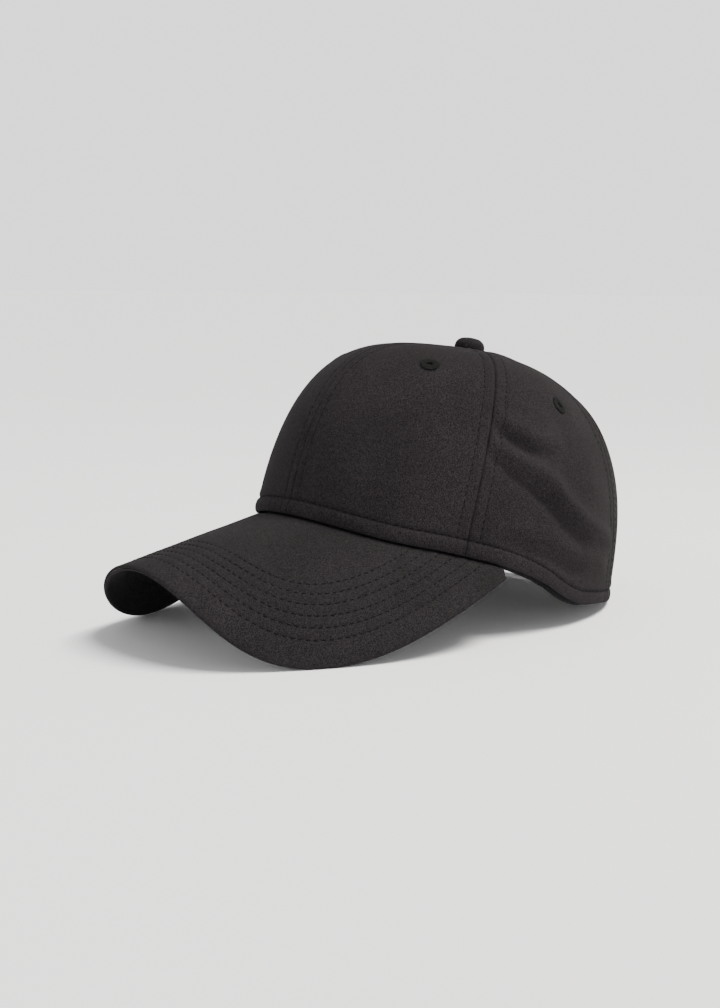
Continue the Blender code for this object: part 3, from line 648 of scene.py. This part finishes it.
def thread_mesh(name, vertices, faces):
    """Stitches' mesh: the end rings have no width, so their points are merged."""
    mesh = bpy.data.meshes.new(name)
    mesh.from_pydata(vertices.tolist(), [], faces[:, ::-1].tolist())
    model = bmesh.new()
    model.from_mesh(mesh)
    bmesh.ops.remove_doubles(model, verts=model.verts, dist=2e-6)
    bmesh.ops.recalc_face_normals(model, faces=model.faces)
    model.to_mesh(mesh)
    model.free()
    mesh.shade_smooth()
    return mesh


# ------------ crown

def gentle_waves(turn, rise, seed):
    """Slow unevenness of sewn cloth, mostly between -1 and 1."""
    draw = np.random.default_rng(seed)
    total = np.zeros_like(turn)
    for _ in range(7):
        a, b, phase = draw.uniform(-0.22, 0.22), draw.uniform(-0.20, 0.20), draw.uniform(0, 2 * pi)
        total = total + np.sin(a * turn + b * rise + phase)
    return total / 3.5


def bell(distance, width):
    return np.exp(-(distance / width) ** 2)


def relief_of(bells, distance):
    return sum(height * bell(distance - middle, width) for height, middle, width in bells)


def column_rises(turn_at, start, end):
    """Rises and lengths of one column's points, from start to end."""
    tighten, loosen = COLUMN_EASE
    left = ((90 - end) / (90 - start)) ** tighten
    rise = 90 - (90 - start) * (1 - np.linspace(0, 1, 240) * (1 - left)) ** loosen
    along = lengths_along(crown_surface(turn_at(rise), rise))
    rest = along[-1] - ROWS_NEAR_HEM[-1]
    wanted = np.concatenate([ROWS_NEAR_HEM, ROWS_NEAR_HEM[-1] + rest * ROWS_ABOVE])
    return np.interp(wanted, along, rise), wanted


def panel_grid(first_seam, last_seam, shares, start):
    """Fine grid of a panel: turn, rise, and the distance from hem and from both seams."""
    turns, rises, heights = [], [], []
    for share in shares:
        def turn_at(rise, share=share):
            return first_seam(rise) + (last_seam(rise) - first_seam(rise)) * share
        end = rise_at_radius(turn_at(np.array([90.0])), TIP_RADIUS)[0]
        rise, height = column_rises(turn_at, start(turn_at(np.array([0.0])))[0], end)
        turns.append(turn_at(rise))
        rises.append(rise)
        heights.append(height)
    turn, rise, height = np.array(turns), np.array(rises), np.array(heights)
    plan = np.hypot(*np.moveaxis(crown_surface(turn, rise)[..., :2], -1, 0))
    mm = np.radians(1) * plan
    return turn, rise, height, (turn - first_seam(rise)) * mm, (last_seam(rise) - turn) * mm


def seam_relief(distance):
    """Dip at a seam, the puffed edge beside it and the dent under the stitches."""
    return relief_of(SEAM_RELIEF, np.maximum(distance, 0))


def hem_size(sizes, turn):
    """Height or puff of the hem's roll, which lessens towards the back."""
    front, loss, spread = sizes
    return front - loss * smooth_step((np.abs(turn) - HEM_CHANGES_AT) / spread)


def hem_relief(height, turn):
    """Rolled hem: a puffed band, slightly puckered, with the stitch line's dent above it."""
    top = hem_size(HEM_TOP, turn)
    roll = hem_size(HEM_PUFF, turn) * np.sin(pi * np.clip(height / top, 0, 1) ** 0.8) ** 0.6
    around = np.radians(turn)
    pucker = 1 + sum(depth * np.sin(around * count + phase) for depth, count, phase in HEM_PUCKERS)
    return roll * pucker + relief_of(ABOVE_HEM_RELIEF, height - top)


def fold_relief(points, turn, rise, folds):
    """Raised and sunken folds, each a bell across a path on the crown."""
    total = np.zeros_like(turn)
    for path, height, width in folds:
        way = np.array(path, dtype=float)
        fine = np.linspace(0, len(way) - 1, 60)
        spine = crown_surface(*between(fine, np.arange(len(way)), way).T)
        gaps = np.linalg.norm(points[:, :, None] - spine, axis=-1)
        nearest = gaps.argmin(axis=-1)
        fade = np.sin(pi * np.clip((nearest + 6) / 72, 0, 1)) ** 0.5
        total = total + height * fade * bell(gaps.min(axis=-1), width)
    return total


def panel_columns(kind):
    """Shares of a panel's width, closer together near its seams, and where its columns start."""
    if kind == "back":
        edge = (180 - OPENING_HALF_TURN - BACK_SEAM) / (180 - BACK_SEAM)
        beside = np.linspace(0, edge, BACK_COLUMNS_BESIDE)[:-1]
        around = 1 - (1 - edge) * np.cos(np.linspace(0, pi / 2, BACK_COLUMNS_AROUND))
        return np.concatenate([beside, around]), opening_edge
    even = np.linspace(0, 1, PANEL_GRID_COLUMNS)
    return (1 - np.cos(pi * even)) / 2 * 0.6 + even * 0.4, np.zeros_like


def side_folds(surface, turn, rise, side):
    """Folds of the side panel, moved a little on the wearer's right."""
    shift = 0.0 if side == "left" else RIGHT_FOLD_SHIFT
    shaped = [([(t + shift, r + 0.4 * shift) for t, r in path], h, w) for path, h, w in FOLDS]
    return fold_relief(surface, turn, rise, shaped)


def panel_shape(kind, side):
    """Outer and inner skins of a panel, with what the stitches need."""
    seams = {
        "front": (np.zeros_like, side_seam),
        "side": (side_seam, at_back_seam),
        "back": (at_back_seam, at_centre_back),
    }
    shares, start = panel_columns(kind)
    turn, rise, height, first, last = panel_grid(*seams[kind], shares, start)
    surface = crown_surface(turn, rise)
    normal = grid_normals(surface, (1, 0, 0.5))
    calm = smooth_step(np.minimum(first, last) / WAVES_FROM_SEAM) * smooth_step(height / WAVES_FROM_HEM)
    seed = WAVE_SEEDS[kind] + (RIGHT_SEED_STEP if side == "right" else 0)
    soft = gentle_waves(turn, rise, seed) * WAVE_HEIGHT * SOFTNESS[kind] * calm
    if kind == "side":
        fade = smooth_step(height / 10) * smooth_step((last + 2) / 12) * smooth_step((first + 3) / 8)
        soft = soft + side_folds(surface, turn, rise, side) * fade
    turn_e, rise_e = EYELETS[kind]
    eyelet = crown_surface(np.array(turn_e), np.array(rise_e))
    from_eyelet = np.linalg.norm(surface - eyelet, axis=-1)
    relief = soft + seam_relief(first) + seam_relief(last) + hem_relief(height, turn)
    relief = relief + relief_of([EYELET_DENT], from_eyelet)
    outer = surface + normal * relief[..., None]
    inner = surface - normal * (PANEL[1] - np.minimum(soft, 1.5)[..., None])
    return {"outer": outer, "inner": inner, "normal": normal, "uv": np.stack([first, height], axis=-1),
            "height": height, "first": first, "last": last, "turn": turn}


def at_back_seam(rise):
    return np.full_like(rise, BACK_SEAM)


def at_centre_back(rise):
    return np.full_like(rise, 180.0)


def line_beside_seam(shape, which):
    """Stitch path on a panel's outer skin, beside its first or last seam."""
    way = 1 if which == "first" else -1
    from_seam, outer, normal = [shape[key][::way] for key in (which, "outer", "normal")]
    wide = from_seam[-1] >= 2 * SEAM_STITCH_DISTANCE
    over_hem = shape["height"][len(outer) // 2] >= SEAM_STITCHES_FROM_HEM
    under_top = np.hypot(outer[0, :, 0], outer[0, :, 1]) >= SEAM_STITCHES_FROM_TOP
    rows = np.flatnonzero(wide & over_hem & under_top)
    return [np.array([between(SEAM_STITCH_DISTANCE, from_seam[:, r], skin[:, r]) for r in rows])
            for skin in (outer, normal)]


def line_over_hem(shape):
    """Stitch path on a panel's outer skin, just over the roll of its hem."""
    wanted = hem_size(HEM_TOP, shape["turn"][:, 0]) + STITCHES_OVER_HEM
    return [np.array([between(w, h, row) for w, h, row in zip(wanted, shape["height"], shape[skin])])
            for skin in ("outer", "normal")]


def add_panels(materials):
    """Six crown panels and the thread beside their seams and over their hem."""
    seam_rows, hem_rows = [], []
    for side in ("left", "right"):
        for kind in ("front", "side", "back"):
            shape = panel_shape(kind, side)
            name = f"{kind}_panel_{side}"
            mesh = solid(name + "_cloth", shape["outer"], shape["inner"], shape["uv"], side == "right")
            add_piece(name + "_cloth", mesh, materials, "crown_cloth", [name])
            rows = [line_beside_seam(shape, which) for which in ("first", "last")]
            rows.append(line_over_hem(shape))
            if side == "right":
                rows = [(mirror(points), mirror(normals)) for points, normals in rows]
            seam_rows += rows[:2]
            hem_rows += rows[2:]
    stitches(seam_rows, "seam_stitches", materials, "crown_cloth", 0.08)
    stitches(hem_rows, "hem_stitches", materials, "crown_cloth", 0.12)


def eyelet_ring():
    """Cord of an eyelet, ribbed by its radial threads, with its faces and UV."""
    cord = EYELET_CORD
    steps, sides = GRIDS["eyelet"]
    around = circle(steps)[:, None]
    cross = circle(sides)[None, :]
    rib = 1 + EYELET_RIB * np.abs(np.sin(around * cord["threads"] / 2))
    out = cord["radius"] + cord["half_width"] * rib * np.cos(cross)
    up = cord["lift"] + cord["half_height"] * rib * np.sin(cross)
    ring = np.stack([out * np.cos(around), out * np.sin(around), up], axis=-1)
    ids = np.arange(steps * sides).reshape(steps, sides)
    ahead, beside = np.roll(ids, -1, axis=0), np.roll(ids, -1, axis=1)
    faces = np.stack([ids, ahead, np.roll(ahead, -1, axis=1), beside], axis=-1).reshape(-1, 4)
    uv = np.stack([around * cord["radius"] + 0 * cross, 0 * around + cross * cord["half_width"]], axis=-1)
    return ring, faces, uv


def add_eyelets(materials):
    """Satin-stitched rings round the eyelets' holes, laid flat on the crown."""
    ring, faces, uv = eyelet_ring()
    for kind, (turn, rise) in EYELETS.items():
        grid = np.array([[-0.5, -0.5], [0.5, 0.5]])
        patch = crown_surface(turn + grid, rise + grid.T)
        normal = grid_normals(patch, (1, 0, 1))[0, 0]
        basis = np.array(Vector(normal).to_track_quat("Z", "Y").to_matrix())
        left = ring @ basis.T + patch.mean(axis=(0, 1))
        for side, points, order in (("left", left, faces), ("right", mirror(left), faces[:, ::-1])):
            name = f"eyelet_{kind}_{side}"
            mesh = mesh_from(name + "_thread", in_world(points), order.tolist(), uv, 80)
            add_piece(name + "_thread", mesh, materials, "eyelet_thread", [name])


def add_button(materials):
    """Cloth-covered button, gathered slightly at its rim."""
    apex = CROWN_HEIGHT + TOP_SWELL + BUTTON_SEAT
    sides, steps = GRIDS["button"]
    around = circle(sides)[:, None]
    down = np.radians(np.linspace(1.0, 90, steps))[None, :]
    gather = 1 + BUTTON_GATHER_DEPTH * np.sin(around * BUTTON_GATHERS) * np.sin(down) ** 6
    skins = []
    for radius, height in BUTTON_COVER:
        out = radius * np.sin(down) ** 0.75 * gather
        up = height * np.cos(down) ** 0.75 + 0 * around
        skins.append(np.stack([out * np.cos(around), out * np.sin(around), up + apex], axis=-1))
    count = sides * steps
    ids = np.arange(count).reshape(sides, steps)
    ahead = np.roll(ids, -1, axis=0)
    outside = np.stack([ids[:, :-1], ids[:, 1:], ahead[:, 1:], ahead[:, :-1]], axis=-1).reshape(-1, 4)
    rim = np.stack([ids[:, -1], ids[:, -1] + count, ahead[:, -1] + count, ahead[:, -1]], axis=-1)
    faces = outside.tolist() + (outside[:, ::-1] + count).tolist() + rim.tolist()
    faces += [ids[:, 0].tolist(), (ids[::-1, 0] + count).tolist()]
    points = np.concatenate([skin.reshape(-1, 3) for skin in skins])
    mesh = mesh_from("button_cover_cloth", in_world(points), faces, points[:, :2], 60)
    add_piece("button_cover_cloth", mesh, materials, "crown_cloth", ["button_cover"])


# ------------ inside of the crown

def inner_layer(name, points, depths, outwards, materials, slot, node, mirrored=False, curl=0.0):
    """Strip of cloth inside the crown, its long edges curled under a little."""
    normals = grid_normals(points, outwards)
    rows = np.linspace(-1, 1, points.shape[1])[None, :, None]
    outer = points - normals * depths[0]
    inner = points - normals * (depths[1] - curl * np.abs(rows) ** 8)
    across = np.linalg.norm(points - points[:, :1], axis=-1)
    uv = np.stack([lengths_along(points), across], axis=-1)
    return add_piece(name, solid(name, outer, inner, uv, mirrored), materials, slot, [node])


def add_tapes(materials):
    """Seam tapes, mitred where they meet under the button."""
    routes = {
        "front": (np.zeros_like, None),
        "front_left": (side_seam, "front_right"),
        "back_left": (at_back_seam, "back_right"),
        "back": (at_centre_back, None),
    }
    count, columns = GRIDS["tape"]
    across = np.linspace(-1, 1, columns)[None, :]
    for name, (seam, twin) in routes.items():
        at_top = seam(np.array([90.0]))
        low = rise_at_height(at_top, INSIDE_START)[0]
        if name == "back":
            low = OPENING_RISE + TAPE_OVER_OPENING
        end = rise_at_radius(at_top, TAPE_TIP_RADIUS)
        rise = climbing_rows(at_top, np.array([low]), end, count)[0]
        centre = crown_surface(seam(rise), rise)
        plan = np.hypot(centre[:, 0], centre[:, 1])
        half = np.minimum(TAPE_WIDTH / 2, plan * 0.5 - TAPE_MITRE_GAP)
        turn = seam(rise)[:, None] + across * np.degrees(half / plan)[:, None]
        points = crown_surface(turn, rise[:, None] + 0 * across)
        outwards = centre[0] * np.array([1, 1, 0])
        for place in filter(None, (name, twin)):
            inner_layer(f"tape_{place}", points, TAPE, outwards, materials, "tape", f"seam_tape_{place}",
                        place == twin, TAPE_CURL)


def add_buckram(materials):
    """Stiff layer behind each front panel, set in from its seams."""
    columns, rows = GRIDS["buckram"]
    first, last = BUCKRAM_INSETS
    share = np.linspace(0, 1, columns)[:, None]
    turn_top = first + (SIDE_SEAM_AT_TOP - first - last) * share[:, 0]
    end = rise_at_radius(turn_top, BUCKRAM_TOP_RADIUS)
    rise = climbing_rows(turn_top, rise_at_height(turn_top, INSIDE_START), end, rows)
    turn = first + (side_seam(rise) - first - last) * share
    points = crown_surface(turn, rise)
    for side in ("left", "right"):
        inner_layer(f"buckram_{side}", points, BUCKRAM, (1, -1, 0.5), materials, "buckram",
                    f"front_buckram_{side}", side == "right")


def add_sweatband(materials):
    """Sweatband with its rolled edges and stitch lines."""
    columns, rows = GRIDS["sweatband"]
    turn = np.linspace(-SWEATBAND_END_TURN, SWEATBAND_END_TURN, columns)[:, None]
    heights = np.linspace(-SWEATBAND_SKIRT, SWEATBAND_HEIGHT, rows)[None, :]
    low = crown_surface(turn + 0 * heights, rise_at_height(turn, np.maximum(heights, 0)))
    points = low + np.minimum(heights, 0)[..., None] * np.array([0, 0, 1.0])
    normals = grid_normals(points, (0, -1, 0))
    swing, waves, middle, spread = SWEATBAND_WAVE
    wave = swing * np.sin(np.radians(turn) * waves) * bell(heights - middle, spread)
    relief = relief_of(SWEATBAND_RELIEF, heights) + wave - relief_of(SWEATBAND_EDGES, heights)
    outer = points - normals * SWEATBAND[0]
    inner = points - normals * (SWEATBAND[1] + relief)[..., None]
    along = lengths_along(points[:, 5])[:, None]
    uv = np.stack([along + 0 * heights, heights + 0 * turn], axis=-1)
    mesh = solid("sweatband_cloth", outer, inner, uv)
    add_piece("sweatband_cloth", mesh, materials, "sweatband_cloth", ["sweatband"])
    stitch_rows = [(inner[3:-3, k], -normals[3:-3, k]) for k in SWEATBAND_STITCH_ROWS]
    stitches(stitch_rows, "sweatband_stitches", materials, "sweatband_cloth", 0.06)


def add_padding(materials):
    """Foam pad behind the sweatband's front."""
    columns, rows = GRIDS["padding"]
    turn = np.linspace(-PADDING_END_TURN, PADDING_END_TURN, columns)[:, None]
    heights = np.linspace(PADDING_HEIGHTS[0], PADDING_HEIGHTS[-1], rows)[None, :]
    points = crown_surface(turn + 0 * heights, rise_at_height(turn, heights))
    pad = inner_layer("padding", points, PADDING, (0, -1, 0), materials, "padding_foam",
                      "sweatband_padding", curl=PADDING_CURL)


def add_facing(materials):
    """Facing behind the back opening's arch."""
    columns, rows = GRIDS["facing"]
    sweep = np.radians(np.linspace(0, 180, columns))[:, None]
    grow = np.linspace(0, 1, rows)[None, :]
    turn = 180 - (OPENING_HALF_TURN + FACING_TURN * grow) * np.cos(sweep)
    rise = (OPENING_RISE + FACING_RISE * grow) * np.sin(sweep)
    rise = np.maximum(rise, rise_at_height(turn, FACING_START))
    inner_layer("facing", crown_surface(turn, rise), FACING, (0, 1, 0), materials, "tape",
                "opening_facing", curl=FACING_CURL)


# ------------ visor

def visor_turns(count):
    return np.linspace(-VISOR_END_SHARE, VISOR_END_SHARE, count) * VISOR_END_TURN


def visor_hem():
    """The visor's root in the flat pattern, and how far each point falls to the hem."""
    turn = visor_turns(VISOR_ROOT_POINTS)
    pattern = np.stack(pattern_under(*hem_plan(turn)), axis=-1)
    fall = hem_height(turn) - visor_from_pattern(pattern[:, 0], pattern[:, 1])[:, 2]
    return pattern, fall


def visor_edge(columns):
    """The visor's root and outline in the flat pattern, joined at both ends."""
    t = np.linspace(-VISOR_END_SHARE, VISOR_END_SHARE, columns)
    inner = np.stack(pattern_under(*hem_plan(t * VISOR_END_TURN)), axis=-1)
    end_out = pattern_under(*hem_plan(np.array([VISOR_END_TURN])))[1][0]
    u = np.sign(t) * np.abs(t) ** VISOR_COLUMN_SPACING
    sweep = np.radians(90 * u)
    curve = 2 / VISOR_SQUARENESS
    spread, length = VISOR_HALF_SPREAD - VISOR_EDGE_ROUND, VISOR_LENGTH - VISOR_EDGE_ROUND
    across = spread * np.sign(u) * np.abs(np.sin(sweep)) ** curve
    out = end_out + (length - end_out) * np.abs(np.cos(sweep)) ** curve
    edge = np.stack([across, out], axis=-1)
    join = (np.abs(u) ** VISOR_END_SHARPNESS)[:, None]
    return inner, edge * (1 - join) + inner * join


def on_visor(pattern):
    """Visor's top surface at places in the flat pattern, with its ends drawn down to the hem."""
    root, fall = visor_hem()
    surface = visor_from_pattern(pattern[..., 0], pattern[..., 1])
    gaps = np.linalg.norm(pattern[..., None, :] - root, axis=-1)
    nearest = gaps.argmin(axis=-1)
    surface[..., 2] += fall[nearest] * bell(gaps.min(axis=-1), VISOR_END_FADE)
    return surface


def inset_rows(distances):
    """Stitch rows: the outline moved inwards by each distance, down to the hem."""
    _, edge = visor_edge(VISOR_OUTLINE_POINTS)
    root, _ = visor_hem()
    ahead = unit(np.gradient(edge, axis=0))
    inwards = np.stack([ahead[:, 1], -ahead[:, 0]], axis=1)
    rows = []
    for distance in distances:
        line = edge + inwards * (distance - VISOR_EDGE_ROUND)
        hem_out = np.interp(line[:, 0], root[:, 0], root[:, 1])
        clear = np.min(np.linalg.norm(line[:, None] - edge, axis=-1), axis=1)
        keep = (line[:, 1] > hem_out + 1.5) & (clear > distance - VISOR_EDGE_ROUND - 0.4)
        rows.append(line[keep])
    return rows


def visor_grid(columns, rows):
    """The visor's top surface from its tucked root outwards, with its pattern and outline."""
    inner, edge = visor_edge(columns)
    share = np.linspace(0, 1, rows)[None, :, None]
    pattern = inner[:, None] * (1 - share) + edge[:, None] * share
    surface = on_visor(pattern)
    turn = visor_turns(columns)
    plan = np.stack(hem_plan(turn), axis=-1)
    tucked = plan * (1 - VISOR_TUCK / np.linalg.norm(plan, axis=-1, keepdims=True))
    root = np.concatenate([tucked, hem_height(turn)[:, None]], axis=-1)
    points = np.concatenate([root[:, None], surface], axis=1)
    tuck_pattern = pattern[:, :1] - np.array([0, VISOR_TUCK])
    return points, np.concatenate([tuck_pattern, pattern], axis=1), edge


def steady_normals(points):
    """Normals that settle to one direction at each end, where the grid narrows."""
    normals = grid_normals(points, (0, -0.3, 1))
    steady = normals.mean(axis=1, keepdims=True)
    share = np.linspace(-1, 1, len(points))[:, None, None] ** 6
    return unit(normals * (1 - share) + steady * share)


def rounded_edge(points, normals, radius, depth, angles):
    """Rows of points round the visor's outer edge, at angles in degrees over its middle."""
    last = points[:, -1]
    outwards = np.cross(unit(np.gradient(last, axis=0)), normals[:, -1])
    outwards *= np.sign(np.sum(outwards * (last - points[:, -2]), axis=-1, keepdims=True))
    centre = last - normals[:, -1] * depth
    rows = [centre + radius * (outwards * cos(radians(a)) + normals[:, -1] * sin(radians(a)))
            for a in angles]
    return np.stack(rows, axis=1)


def visor_dents(pattern, edge):
    """Dents along the stitch rows and slow unevenness, fading out at the root."""
    gaps = np.linalg.norm(pattern[:, :, None] - edge, axis=-1).min(axis=-1) + VISOR_EDGE_ROUND
    dents = sum(relief_of(STITCH_ROW_RELIEF, gaps - distance) for distance in VISOR_STITCH_ROWS)
    waves = VISOR_WAVE_HEIGHT * gentle_waves(pattern[..., 0], pattern[..., 1], VISOR_SEED)
    return (dents + waves) * smooth_step((pattern[..., 1] - pattern[:, :1, 1]) / 8)


def add_visor(materials):
    """Board, and top and under covers that are dented along their stitch rows."""
    points, pattern, edge = visor_grid(*GRIDS["visor"])
    normals = steady_normals(points)
    dents = visor_dents(pattern, edge) * VISOR_DENT_SHARE
    start = points[:, :1] * (1 - BOARD_START) + points[:, 1:2] * BOARD_START
    board = np.concatenate([start, points[:, 1:]], axis=1)
    top, bottom = [board - normals * depth for depth in VISOR_BOARD]
    mesh = solid("visor_board_sheet", top, bottom, pattern)
    add_piece("visor_board_sheet", mesh, materials, "visor_board", ["visor_board"])
    middle = (VISOR_TOP_COVER[0] + VISOR_UNDER_COVER[1]) / 2
    margin = np.repeat(pattern[:, -1:], len(VISOR_EDGE_ANGLES), axis=1)
    margin[..., 1] += np.linspace(*VISOR_EDGE_UV, len(VISOR_EDGE_ANGLES))
    uv = np.concatenate([pattern, margin], axis=1)
    for name, (near, far), way in (("visor_top_cover", VISOR_TOP_COVER, 1),
                                   ("visor_under_cover", VISOR_UNDER_COVER[::-1], -1)):
        skins = []
        for skin, radius in ((points - normals * (near - way * dents)[..., None], VISOR_EDGE_ROUND),
                             (points - normals * far, VISOR_EDGE_ROUND - abs(far - near))):
            curled = rounded_edge(points, normals, radius, middle, way * VISOR_EDGE_ANGLES)
            skins.append(np.concatenate([skin, curled], axis=1))
        mesh = solid(name + "_cloth", *skins, uv)
        add_piece(name + "_cloth", mesh, materials, "visor_cloth", [name])


def add_visor_stitches(materials):
    """Thread of the stitch rows, on the top cover and on the under cover."""
    rows_top, rows_under = [], []
    for line in inset_rows(VISOR_STITCH_ROWS):
        path = on_visor(line)
        across = on_visor(line + np.array([1.0, 0.0])) - path
        out = on_visor(line + np.array([0.0, 1.0])) - path
        normal = unit(np.cross(out, across))
        rows_top.append((path - normal * VISOR_STITCH_DEPTH, normal))
        rows_under.append((path - normal * (VISOR_UNDER_COVER[1] - VISOR_STITCH_DEPTH), -normal))
    stitches(rows_top, "visor_stitches", materials, "visor_cloth", 0.10)
    stitches(rows_under, "under_visor_stitches", materials, "visor_cloth", 0.10)


# ------------ strap

def strap_skins():
    """Outer and inner skins of the strap, thinner at its edges and stitch lines, and their UV."""
    columns, rows = GRIDS["strap"]
    turn = np.radians(np.linspace(*STRAP_END_TURNS, columns))[:, None]
    height = np.linspace(-1, 1, rows)[None, :]
    z = STRAP_MID_HEIGHT + height * STRAP_WIDTH / 2 + 0 * turn
    depth, place, width = STRAP_STITCH_LINE
    thin = STRAP_EDGE_THINNING * np.abs(height) ** 10 + depth * bell(np.abs(height) - place, width)
    skins = []
    for radius in (STRAP_RADII[1] - thin, STRAP_RADII[0] + thin):
        skins.append(np.stack([radius * np.sin(turn), STRAP_AXIS_Y + radius * np.cos(turn), z], axis=-1))
    return *skins, np.stack([turn * STRAP_RADII[1] + 0 * height, z], axis=-1)


def add_strap(materials):
    """Back strap with two lines of stitches on each of its faces."""
    outer, inner, uv = strap_skins()
    mesh = solid("strap_cloth", outer, inner, uv)
    add_piece("strap_cloth", mesh, materials, "strap_cloth", ["strap"], "strap")
    rows = []
    for k in STRAP_STITCH_ROWS:
        for skin, way in ((outer, 1), (inner, -1)):
            radial = skin[:, k] - np.array([0, STRAP_AXIS_Y, 0])
            radial[:, 2] = 0
            rows.append((skin[:, k], unit(radial) * way))
    stitches(rows, "strap_stitches", materials, "strap_cloth", 0.02, "strap")


def finish_cad_nodes(frame, materials):
    """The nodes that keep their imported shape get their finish."""
    for node, look in CAD_LOOKS.items():
        mesh = frame["nodes"][node].data
        mesh.materials.clear()
        mesh.materials.append(materials[look])


# ------------ stage

def add_camera():
    data = bpy.data.cameras.new("camera")
    data.sensor_width = 36.0
    data.lens = CAMERA_LENS
    data.shift_x, data.shift_y = CAMERA_SHIFT
    camera = new_object("camera", data)
    camera.location = CAMERA_PLACE
    turn = Matrix.Rotation(radians(CAMERA_AZIMUTH), 4, "Z")
    tilt = Matrix.Rotation(radians(90 - CAMERA_ELEVATION), 4, "X")
    roll = Matrix.Rotation(radians(CAMERA_ROLL), 4, "Z")
    camera.rotation_euler = (turn @ tilt @ roll).to_euler()
    bpy.context.scene.camera = camera


def new_light(name, kind, source, power, color):
    """A light whose rays run from a source, given as a vector towards it."""
    data = bpy.data.lights.new(name, kind)
    data.energy = power
    data.color = color
    light = new_object(name, data)
    light.rotation_euler = source.to_track_quat("Z", "Y").to_euler()
    return light


def add_light(name, place, target, size, power, color):
    light = new_light(name, "AREA", Vector(place) - Vector(target), power, color)
    light.data.shape = "DISK"
    light.data.size = size
    light.location = place


def add_sun():
    """Soft light from above, behind and to the wearer's left, even over the whole floor."""
    light = new_light("key", "SUN", Vector(SUN["from"]), SUN["power"], SUN["color"])
    light.data.angle = radians(SUN["spread"])


def add_floor():
    half = FLOOR_HALF
    corners = [(-half, -half, 0), (half, -half, 0), (half, half, 0), (-half, half, 0)]
    mesh = bpy.data.meshes.new("floor")
    mesh.from_pydata(corners, [], [(0, 1, 2, 3)])
    mesh.materials.append(new_material("floor", FLOOR_COLOR, 0.9)[0])
    floor = new_object("floor", mesh)
    floor.location.z = -FLOOR_DROP


def add_surroundings():
    """White sky, brighter near the horizon than overhead, and the lights."""
    world = bpy.data.worlds.new("studio")
    world.use_nodes = True
    tree = world.node_tree
    place = add_node(tree, "ShaderNodeTexCoord")
    split = add_node(tree, "ShaderNodeSeparateXYZ")
    tree.links.new(place.outputs["Generated"], split.inputs["Vector"])
    heights = SKY["fade_from"], SKY["fade_to"]
    strength = remapped(tree, split.outputs["Z"], SKY["near"], SKY["overhead"], *heights)
    tree.links.new(strength, tree.nodes["Background"].inputs["Strength"])
    tree.nodes["Background"].inputs["Color"].default_value = (1, 1, 1, 1)
    bpy.context.scene.world = world
    add_sun()
    for name, light in LIGHTS.items():
        add_light(name, *light)


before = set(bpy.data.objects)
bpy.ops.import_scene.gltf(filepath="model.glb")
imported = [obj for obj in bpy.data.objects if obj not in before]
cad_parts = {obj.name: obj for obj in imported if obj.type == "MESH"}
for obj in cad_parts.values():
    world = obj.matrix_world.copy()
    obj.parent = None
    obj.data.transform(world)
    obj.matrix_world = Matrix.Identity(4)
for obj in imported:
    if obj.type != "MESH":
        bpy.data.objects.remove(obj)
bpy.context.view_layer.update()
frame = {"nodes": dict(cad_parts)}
add_camera()
materials = all_materials()
add_floor()
add_surroundings()
add_panels(materials)
add_eyelets(materials)
add_button(materials)
add_tapes(materials)
add_buckram(materials)
add_sweatband(materials)
add_padding(materials)
add_facing(materials)
add_visor(materials)
add_visor_stitches(materials)
add_strap(materials)
finish_cad_nodes(frame, materials)
